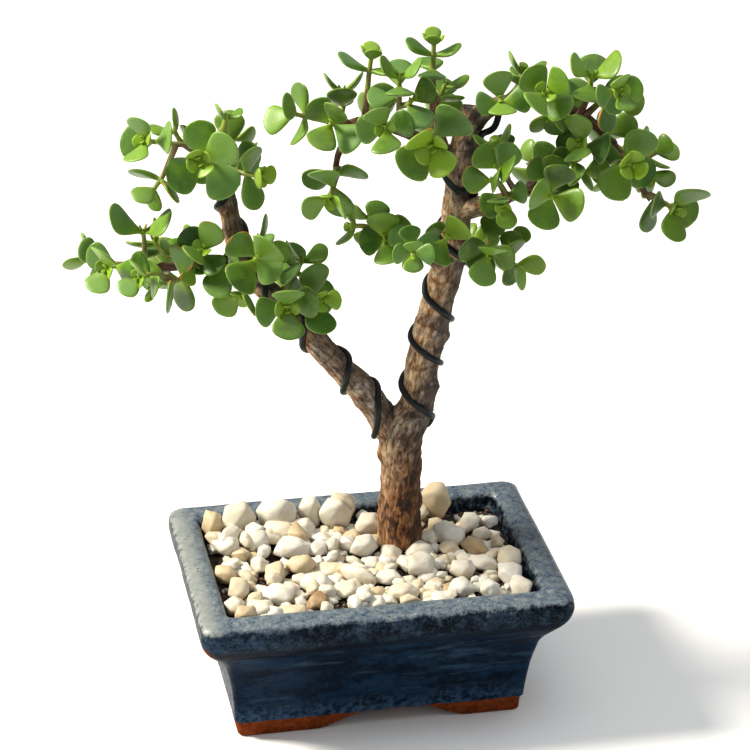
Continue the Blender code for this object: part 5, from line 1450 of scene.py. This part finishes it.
class Nodes:
    """A material's node tree, built by short calls that return sockets."""

    def __init__(self, name):
        self.material = bpy.data.materials.new(name)
        self.material.use_nodes = True
        self.tree = self.material.node_tree
        self.shader = self.tree.nodes["Principled BSDF"]

    def node(self, kind, **settings):
        node = self.tree.nodes.new(kind)
        for name, value in settings.items():
            setattr(node, name, value)
        return node

    def wire(self, value, socket):
        """Gives the socket another node's output, a colour or a number."""
        if isinstance(value, bpy.types.NodeSocket):
            self.tree.links.new(value, socket)
        elif isinstance(value, tuple) and len(value) == 3 and len(socket.default_value) == 4:
            socket.default_value = (*value, 1)
        else:
            socket.default_value = value

    def value(self, name):
        """One of the mesh's own values at each point."""
        return self.node("ShaderNodeAttribute", attribute_name=name).outputs["Fac"]

    def vector(self, name):
        return self.node("ShaderNodeAttribute", attribute_name=name).outputs["Vector"]

    def place(self):
        """The point's place on the object, in metres."""
        return self.node("ShaderNodeTexCoord").outputs["Object"]

    def height(self):
        split = self.node("ShaderNodeSeparateXYZ")
        self.wire(self.place(), split.inputs[0])
        return split.outputs["Z"]

    def scaled(self, vector, by):
        node = self.node("ShaderNodeVectorMath", operation="MULTIPLY")
        self.wire(vector, node.inputs[0])
        node.inputs[1].default_value = by
        return node.outputs[0]

    def noise(self, size, vector=None, detail=3.0, rough=0.55, stretch=(1, 1, 1)):
        """Noise with features of about this size, in metres."""
        node = self.node("ShaderNodeTexNoise")
        source = self.place() if vector is None else vector
        self.wire(self.scaled(source, tuple(part / size for part in stretch)), node.inputs["Vector"])
        node.inputs["Scale"].default_value = 1
        node.inputs["Detail"].default_value = detail
        node.inputs["Roughness"].default_value = rough
        return node.outputs["Fac"]

    def cells(self, size, feature="F1", vector=None):
        node = self.node("ShaderNodeTexVoronoi", feature=feature)
        source = self.place() if vector is None else vector
        self.wire(self.scaled(source, (1 / size,) * 3), node.inputs["Vector"])
        node.inputs["Scale"].default_value = 1
        return node.outputs["Distance"]

    def span(self, value, low, high, to_low=0.0, to_high=1.0):
        """The value moved from one range to another, held within it."""
        node = self.node("ShaderNodeMapRange", interpolation_type="SMOOTHSTEP")
        self.wire(value, node.inputs["Value"])
        node.inputs["From Min"].default_value = low
        node.inputs["From Max"].default_value = high
        node.inputs["To Min"].default_value = to_low
        node.inputs["To Max"].default_value = to_high
        return node.outputs["Result"]

    def math(self, operation, first, second):
        node = self.node("ShaderNodeMath", operation=operation)
        self.wire(first, node.inputs[0])
        self.wire(second, node.inputs[1])
        return node.outputs[0]

    def times(self, first, second):
        return self.math("MULTIPLY", first, second)

    def mix(self, share, first, second, blend="MIX"):
        """The second colour over the first, by this share."""
        node = self.node("ShaderNodeMix", data_type="RGBA", blend_type=blend)
        self.wire(share, node.inputs[0])
        self.wire(first, node.inputs[6])
        self.wire(second, node.inputs[7])
        return node.outputs[2]

    def ramp(self, value, *stops):
        """A colour for the value, from (place, colour) stops."""
        node = self.node("ShaderNodeValToRGB")
        self.wire(value, node.inputs[0])
        elements = node.color_ramp.elements
        while len(elements) < len(stops):
            elements.new(0.5)
        for element, (place, colour) in zip(elements, stops):
            element.position = place
            element.color = (*colour, 1)
        return node.outputs[0]

    def bump(self, height, strength, distance):
        node = self.node("ShaderNodeBump")
        self.wire(height, node.inputs["Height"])
        node.inputs["Strength"].default_value = strength
        node.inputs["Distance"].default_value = distance
        self.wire(node.outputs[0], self.shader.inputs["Normal"])

    def finish(self, colour, roughness, **sockets):
        self.wire(colour, self.shader.inputs["Base Color"])
        self.wire(roughness, self.shader.inputs["Roughness"])
        for name, value in sockets.items():
            self.wire(value, self.shader.inputs[name.replace("_", " ")])
        return self.material


def leaf_material():
    """Fleshy leaves: deep to yellow green by age, a paler rim, a dull waxy bloom and fine pale dots, with yellower feet
    that partly carry a painted glow of sunlight through the blade.
    """
    m = Nodes("jade_leaf")
    tone = m.value("tone")
    youth = m.value("youth")
    rim = m.value("rim")
    share = m.value("share")
    under = m.value("under")
    patches = m.noise(6 * MM, detail=3)
    green = m.mix(m.span(tone, 0.1, 0.9), DEEP_GREEN, MID_GREEN)
    green = m.mix(m.span(patches, 0.4, 0.7, 0, 0.55), green, FRESH_GREEN)
    green = m.mix(m.times(m.span(m.math("FRACT", m.times(tone, 7.3), 0.0), 0.45, 0.9), 0.75), green, WAXY_GREEN)
    green = m.mix(m.span(youth, 0, 1, 0, 0.85), green, YOUNG_GREEN)
    # Leaf feet: partly their own yellower green, partly a painted glow of sunlight shining through, on some leaves
    sunny = m.span(m.math("FRACT", m.times(tone, 13.9), 0.0), 0.2, 0.9, 0.3, 0.95)
    green = m.mix(m.times(m.span(share, 0.55, 0.05), sunny), green, FOOT_GREEN_AND_SUN_GLOW)
    green = m.mix(m.times(m.span(under, 0, 1), 0.3), green, UNDER_GREEN)
    dots = m.span(m.cells(0.75 * MM), 0.3, 0.12, 0, 0.28)
    green = m.mix(dots, green, DOT_GREEN)
    green = m.mix(m.times(m.span(rim, 0.45, 1.0), 0.55), green, RIM_GREEN)
    blush = m.times(m.span(rim, 0.2, 0.9), m.span(m.math("FRACT", m.times(tone, 31.7), 0.0), 0.95, 0.97))
    green = m.mix(m.times(blush, m.span(m.noise(5 * MM), 0.45, 0.6)), green, BLUSH)
    m.bump(m.noise(0.9 * MM, detail=2), 0.12, 0.2 * MM)
    rough = m.span(m.noise(3 * MM), 0.3, 0.7, 0.34, 0.5)
    return m.finish(
        green,
        rough,
        Subsurface_Weight=0.22,
        Subsurface_Radius=(0.6, 1.0, 0.2),
        Subsurface_Scale=1.6 * MM,
        Sheen_Weight=0.06,
        Specular_IOR_Level=0.36,
        Sheen_Roughness=0.45,
        Sheen_Tint=(0.8, 0.95, 0.9),
    )


def stem_material():
    """Stems: yellow green where young, reddish brown further back."""
    m = Nodes("young_stem")
    woody = m.math("ADD", m.value("woody"), m.span(m.noise(9 * MM), 0.3, 0.7, -0.2, 0.2))
    colour = m.ramp(woody, (0.0, STEM_YOUNG), (0.34, STEM_GREEN), (0.55, STEM_RED), (0.9, STEM_BROWN))
    streaks = m.span(m.noise(0.8 * MM, detail=4), 0.4, 0.7)
    colour = m.mix(m.times(streaks, 0.35), colour, STEM_PALE)
    m.bump(m.noise(0.7 * MM), 0.3, 0.25 * MM)
    return m.finish(colour, 0.5, Subsurface_Weight=0.08, Subsurface_Scale=1 * MM)


def bark_material():
    """Bark: dark cracks between orange and tan plates low down, greyer and ringed higher up, painted creamy where the
    key light falls on the left and painted darker on the far side.
    """
    m = Nodes("bark")
    space = m.vector("bark_space")
    shade = m.value("shade")
    height = m.value("height")
    girth = m.value("girth")
    fine = m.noise(1.1 * MM, space, 5, 0.65, (0.3, 1, 1))
    broad = m.noise(9 * MM, space, 3)
    # The tone carries the relief's colour value, with its painted shade in cracks, pits and hollows
    tone = m.math("ADD", m.times(shade, 0.62), m.span(fine, 0.35, 0.65, 0, 0.42))
    low = m.ramp(tone, (0.2, CRACK), (0.45, RUST), (0.66, ORANGE_BARK), (0.92, TAN_BARK))
    high = m.ramp(tone, (0.12, CRACK), (0.34, BROWN_BARK), (0.6, GREY_BARK), (0.92, PALE_BARK))
    level = m.math("ADD", height, m.span(broad, 0.3, 0.7, -0.09, 0.09))
    colour = m.mix(m.span(level, 0.17, 0.34), low, high)
    colour = m.mix(m.times(m.span(broad, 0.52, 0.66), 0.25), colour, TAN_BARK)
    ragged = m.span(m.noise(4 * MM, space, 4, 0.6), 0.35, 0.62)
    # Ash mottles: grey ash bark, whose darkest spots are painted shade standing for the hollows between knobs
    blots = m.math("ADD", m.times(m.noise(3.4 * MM, space, 4, 0.6), 0.7), m.times(tone, 0.3))
    ash = m.ramp(blots, (0.38, CRACK), (0.47, BROWN_BARK), (0.54, ASH_BARK), (0.66, ASH_PALE))
    colour = m.mix(m.times(m.value("ash"), m.span(ragged, 0, 1, 0.5, 1)), colour, ash)
    # Painted light: a creamy copy of the bark where the key light falls, on the listed patches and on the lit side
    cream = m.ramp(tone, (0.15, ORANGE_BARK), (0.4, TAN_BARK), (0.7, LIT_CREAM_BARK))
    # Painted light: how far the limb faces the key light, with a little noise; the lit side is painted creamy, the far
    # side darker
    side = m.math("ADD", m.value("bleached"), m.span(broad, 0.3, 0.7, -0.3, 0.3))
    lit_pale = m.times(m.span(side, 0.1, 0.45), m.span(girth, 0.2, 0.5, 0.2, 0.9))
    lit_pale = m.times(lit_pale, m.span(height, 0.28, 0.4, 0.2, 1))
    colour = m.mix(m.times(m.math("MAXIMUM", m.value("cream"), lit_pale), m.span(ragged, 1, 0, 0.35, 1)), colour, cream)
    # Painted shade: the side turned away from the key light is darkened towards black
    colour = m.mix(m.span(side, 0.0, -0.7, 0, 0.6), colour, CRACK)
    twig = m.ramp(tone, (0.15, CRACK), (0.5, TWIG), (0.9, TWIG_PALE))
    colour = m.mix(m.span(girth, 0.4, 0.16), colour, twig)
    flakes = m.noise(0.55 * MM, space, 4, 0.7, (0.35, 1, 1))
    m.bump(m.math("ADD", m.times(fine, 0.8), m.times(flakes, 0.5)), 0.6, 0.4 * MM)
    return m.finish(colour, m.span(fine, 0.3, 0.7, 0.72, 0.92))


def wire_material():
    """Dark coated wire, scuffed paler in places."""
    m = Nodes("dark_wire")
    scuffs = m.span(m.noise(2.5 * MM, detail=5, rough=0.7), 0.55, 0.72)
    colour = m.mix(m.times(scuffs, 0.6), WIRE_DARK, WIRE_SCUFF)
    m.bump(m.noise(1.2 * MM), 0.15, 0.2 * MM)
    return m.finish(colour, m.span(scuffs, 0, 1, 0.42, 0.6), Specular_IOR_Level=0.25)


def glaze_material():
    """Mottled blue glaze, paler on the rim and edges, over bare clay at the foot. Painted light falls on the rim's
    up-facing faces and its left end, a painted shadow lies under the lip, and the paler band low on the wall is partly
    painted reflection.
    """
    m = Nodes("blue_glaze")
    height = m.height()
    flow = m.noise(16 * MM, detail=5, rough=0.62, stretch=(0.5, 0.5, 1.5))
    mottle = m.noise(3.2 * MM, detail=5, rough=0.7)
    grain = m.noise(0.9 * MM, detail=3, rough=0.7)
    tone = m.math("ADD", m.times(flow, 0.65), m.times(mottle, 0.35))
    body = m.ramp(tone, (0.36, GLAZE_BLACK), (0.47, GLAZE_NAVY), (0.56, GLAZE_BLUE), (0.68, GLAZE_GREEN))
    streak = m.noise(11 * MM, detail=4, rough=0.6, stretch=(0.35, 0.35, 2.2))
    body = m.mix(m.times(m.span(streak, 0.54, 0.68), 0.6), body, GLAZE_LIGHT)
    rim_tone = m.math("ADD", m.times(mottle, 0.55), m.times(grain, 0.45))
    rim = m.ramp(rim_tone, (0.36, GLAZE_DEEP), (0.46, GLAZE_STEEL), (0.55, GLAZE_GREY), (0.66, GLAZE_PALE))
    # Painted light: the left end of the rim, turned to the key light, is painted paler
    rim = m.mix(m.times(m.span(m.value("left"), 0.86, 0.96), 0.6), rim, GLAZE_PALE)
    haze = m.ramp(rim_tone, (0.4, GLAZE_NAVY), (0.5, GLAZE_LIGHT), (0.6, GLAZE_HAZE), (0.72, GLAZE_GREY))
    lip = m.mix(m.times(m.value("haze"), 0.6), m.ramp(rim_tone, (0.46, GLAZE_BLACK), (0.68, GLAZE_LIGHT)), haze)
    turned = m.math("ADD", m.value("up"), m.span(mottle, 0.3, 0.7, -0.25, 0.25))
    edge = m.math("ADD", height, m.span(flow, 0.3, 0.7, -2.2 * MM, 2.2 * MM))
    colour = m.mix(m.span(edge, 47 * MM, 53 * MM), body, lip)
    # Painted light: faces that look up, and the rim's top, take the pale rim colour as if lit from above
    light = m.times(m.span(turned, 0.25, 0.75), m.span(height, 52 * MM, 56 * MM))
    light = m.math("MAXIMUM", light, m.span(edge, 60 * MM, 62.5 * MM, 0, 0.7))
    colour = m.mix(light, colour, rim)
    shadow = m.times(m.span(height, 45 * MM, 47.5 * MM), m.span(height, 51 * MM, 49 * MM))
    colour = m.mix(m.times(shadow, 0.7), colour, GLAZE_BLACK)
    # A paler band low on the wall: partly thinner glaze, partly a painted reflection
    base = m.times(m.span(edge, 18 * MM, 9 * MM), m.span(mottle, 0.42, 0.6))
    colour = m.mix(m.times(base, 0.75), colour, GLAZE_HAZE)
    pits = m.times(m.span(m.cells(4.2 * MM), 0.14, 0.08), m.span(mottle, 0.45, 0.55))
    colour = m.mix(m.times(pits, 0.85), colour, GLAZE_BLACK)
    line = m.math("ADD", height, m.span(m.noise(5 * MM), 0.3, 0.7, -0.5 * MM, 0.5 * MM))
    bare = m.span(line, GLAZE_LINE + 0.35 * MM, GLAZE_LINE - 0.1 * MM)
    missed = m.math("ADD", m.value("missed"), m.span(mottle, 0.3, 0.7, -0.2, 0.2))
    bare = m.math("MAXIMUM", bare, m.span(missed, 0.62, 0.72))
    clay = m.ramp(m.noise(2.2 * MM, detail=5, rough=0.65), (0.3, CLAY_DARK), (0.5, CLAY), (0.72, CLAY_PALE))
    colour = m.mix(bare, colour, clay)
    shine = m.span(mottle, 0.35, 0.65, 0.26, 0.44)
    rough = m.math("ADD", shine, m.times(bare, 0.45))
    m.bump(m.math("ADD", m.times(mottle, 0.7), m.times(grain, 0.3)), 0.3, 0.5 * MM)
    glint = m.times(m.span(turned, 0.1, 0.7, 0.03, 0.4), m.span(bare, 0, 1, 1, 0.3))
    return m.finish(colour, rough, Specular_IOR_Level=glint)


def chip_material():
    """Marble chips: white and cream, some tan, with faint veins and a chalky grain."""
    m = Nodes("white_marble")
    tint = m.value("tint")
    cloud = m.noise(5 * MM, detail=4)
    white = m.ramp(tint, (0.0, CHIP_WHITE), (0.55, CHIP_IVORY), (0.86, CHIP_CREAM), (0.93, CHIP_TAN), (1.0, CHIP_BROWN))
    colour = m.mix(m.times(m.span(cloud, 0.5, 0.7), 0.45), white, CHIP_STAIN)
    vein = m.span(m.noise(3 * MM, detail=6, rough=0.65), 0.49, 0.5)
    colour = m.mix(m.times(vein, 0.08), colour, CHIP_VEIN)
    grime = m.times(m.span(m.height(), SOIL_TOP + 3.5 * MM, SOIL_TOP), m.span(m.noise(2 * MM), 0.35, 0.6))
    colour = m.mix(m.times(grime, 0.5), colour, SOIL_BROWN)
    m.bump(m.noise(1.1 * MM, detail=5, rough=0.65), 0.35, 0.4 * MM)
    rough = m.span(cloud, 0.3, 0.7, 0.42, 0.6)
    return m.finish(colour, rough, Subsurface_Weight=0.1, Subsurface_Scale=1 * MM, Specular_IOR_Level=0.3)


def soil_material(name, tinted):
    """Dark damp soil, with pale and rusty grit among its grains."""
    m = Nodes(name)
    grain = m.noise(1.3 * MM, detail=5, rough=0.7)
    tint = m.value("tint") if tinted else grain
    stops = ((0.0, SOIL_BLACK), (0.5, SOIL_BROWN), (0.74, SOIL_RUST), (0.86, GRIT_TAN), (0.94, GRIT_GREY))
    colour = m.mix(m.times(grain, 0.4), m.ramp(tint, *stops), SOIL_BLACK)
    m.bump(grain, 0.6, 0.6 * MM)
    return m.finish(colour, 0.9)


def mesh_material():
    """Black plastic mesh, a little dusty with soil."""
    m = Nodes("black_plastic")
    dust = m.span(m.noise(4 * MM, detail=4), 0.45, 0.7)
    m.bump(m.noise(1.5 * MM), 0.2, 0.2 * MM)
    return m.finish(m.mix(m.times(dust, 0.5), (0.015, 0.015, 0.016), SOIL_BROWN), 0.6)


def floor_material():
    m = Nodes("pale_floor")
    colour = m.mix(m.noise(0.6, detail=2), (0.86, 0.86, 0.85), (0.9, 0.9, 0.89))
    return m.finish(colour, 0.8)


def make_floor():
    mesh = bpy.data.meshes.new("floor")
    size = 6
    mesh.from_pydata([(-size, -size, 0), (size, -size, 0), (size, size, 0), (-size, size, 0)], [], [(0, 1, 2, 3)])
    mesh.materials.append(floor_material())
    floor = bpy.data.objects.new("floor", mesh)
    bpy.context.scene.collection.objects.link(floor)


def make_light(name, direction, distance, size, power, colour):
    """A soft square light that shines at the middle of the plant."""
    light = bpy.data.lights.new(name, "AREA")
    light.size = size
    light.energy = power
    light.color = colour
    lamp = bpy.data.objects.new(name, light)
    bpy.context.scene.collection.objects.link(lamp)
    way = Vector(direction).normalized()
    lamp.location = Vector((0, 0, 0.14)) + way * distance
    lamp.rotation_mode = "QUATERNION"
    lamp.rotation_quaternion = way.to_track_quat("Z", "Y")


def make_studio():
    """A warm key light from behind the left, a wide one overhead, and a pale surround."""
    make_light("key", (-1.0, 0.25, 0.85), 1.6, 0.36, 58, (1.0, 0.93, 0.8))
    make_light("overhead", (0.15, -0.1, 1), 1.7, 1.6, 17, (0.97, 0.98, 1.0))
    make_light("front", (0.6, -1.2, 0.6), 2.0, 1.6, 3, (0.95, 0.97, 1.0))
    world = bpy.data.worlds.new("surround")
    bpy.context.scene.world = world
    world.use_nodes = True
    background = world.node_tree.nodes["Background"]
    background.inputs["Color"].default_value = (0.97, 0.98, 1.0, 1)
    background.inputs["Strength"].default_value = 0.3
    bpy.context.scene.view_settings.view_transform = "Standard"


def make_camera():
    """The photograph's camera: left of the front, looking down, and rolled a little."""
    forward = Vector(
        (
            math.sin(CAMERA_YAW) * math.cos(CAMERA_ELEVATION),
            math.cos(CAMERA_YAW) * math.cos(CAMERA_ELEVATION),
            -math.sin(CAMERA_ELEVATION),
        )
    )
    level = Vector((math.cos(CAMERA_YAW), -math.sin(CAMERA_YAW), 0))
    upright = level.cross(forward)
    right = level * math.cos(CAMERA_ROLL) + upright * math.sin(CAMERA_ROLL)
    up = upright * math.cos(CAMERA_ROLL) - level * math.sin(CAMERA_ROLL)
    data = bpy.data.cameras.new("camera")
    data.sensor_width = SENSOR
    data.lens = LENS
    camera = bpy.data.objects.new("camera", data)
    bpy.context.scene.collection.objects.link(camera)
    spot = POT_FRAME @ Vector(CAMERA_TARGET) - forward * CAMERA_DISTANCE
    turn = Matrix((right, up, -forward)).transposed().to_4x4()
    camera.matrix_world = Matrix.Translation(spot) @ turn
    bpy.context.scene.camera = camera


def node_surface(name, place):
    """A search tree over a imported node's faces, in a frame of its own."""
    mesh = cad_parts[name].data
    back = place.inverted()
    return BVHTree.FromPolygons([back @ v.co for v in mesh.vertices], [p.vertices[:] for p in mesh.polygons])


def finish_node(name, material):
    """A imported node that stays, with its finish."""
    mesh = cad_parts[name].data
    mesh.materials.clear()
    mesh.materials.append(material)


noise.seed_set(SEED)  # vector noise would otherwise differ from run to run
pot_low, pot_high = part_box("pot")
POT_FRAME = Matrix.Translation(((pot_low.x + pot_high.x) / 2, (pot_low.y + pot_high.y) / 2, 0))
TREE_FRAME = POT_FRAME @ Matrix.Translation((*TREE_PLACE, SOIL_TOP)) @ Matrix.Rotation(TREE_TURN, 4, "Z")
BLADE_GRID = blade_grid()
BLADE_FACES = blade_faces()

make_fine_pot(glaze_material())
chips = make_chips(chip_material())
make_crumbs(chips, soil_material("soil_grains", True))
finish_node("soil", soil_material("potting_soil", False))
for side in ("left", "right"):
    finish_node("drain_screen_" + side, mesh_material())

coarse_runs = limb_runs()
bark = node_surface("wood", TREE_FRAME)
wire_line = wire_run(coarse_runs, bark)
stems, stem_surfaces = plan_stems(coarse_runs, bark, node_surface("training_wire", TREE_FRAME))
leaves = plan_leaves(stems, stem_surfaces, bark, node_surface("training_wire", TREE_FRAME))

fine_runs = {}
for name, knots in LIMBS.items():
    fine_runs[name] = smooth_run([Vector(knot) * MM for knot in knots], LIMB_RING)
fine_wood = make_bark(fine_runs, bark_material())
make_wire(wire_line, fine_wood, wire_material())
make_foliage(stems, leaves, bark, [leaf_material(), stem_material()])

make_floor()
make_studio()
make_camera()
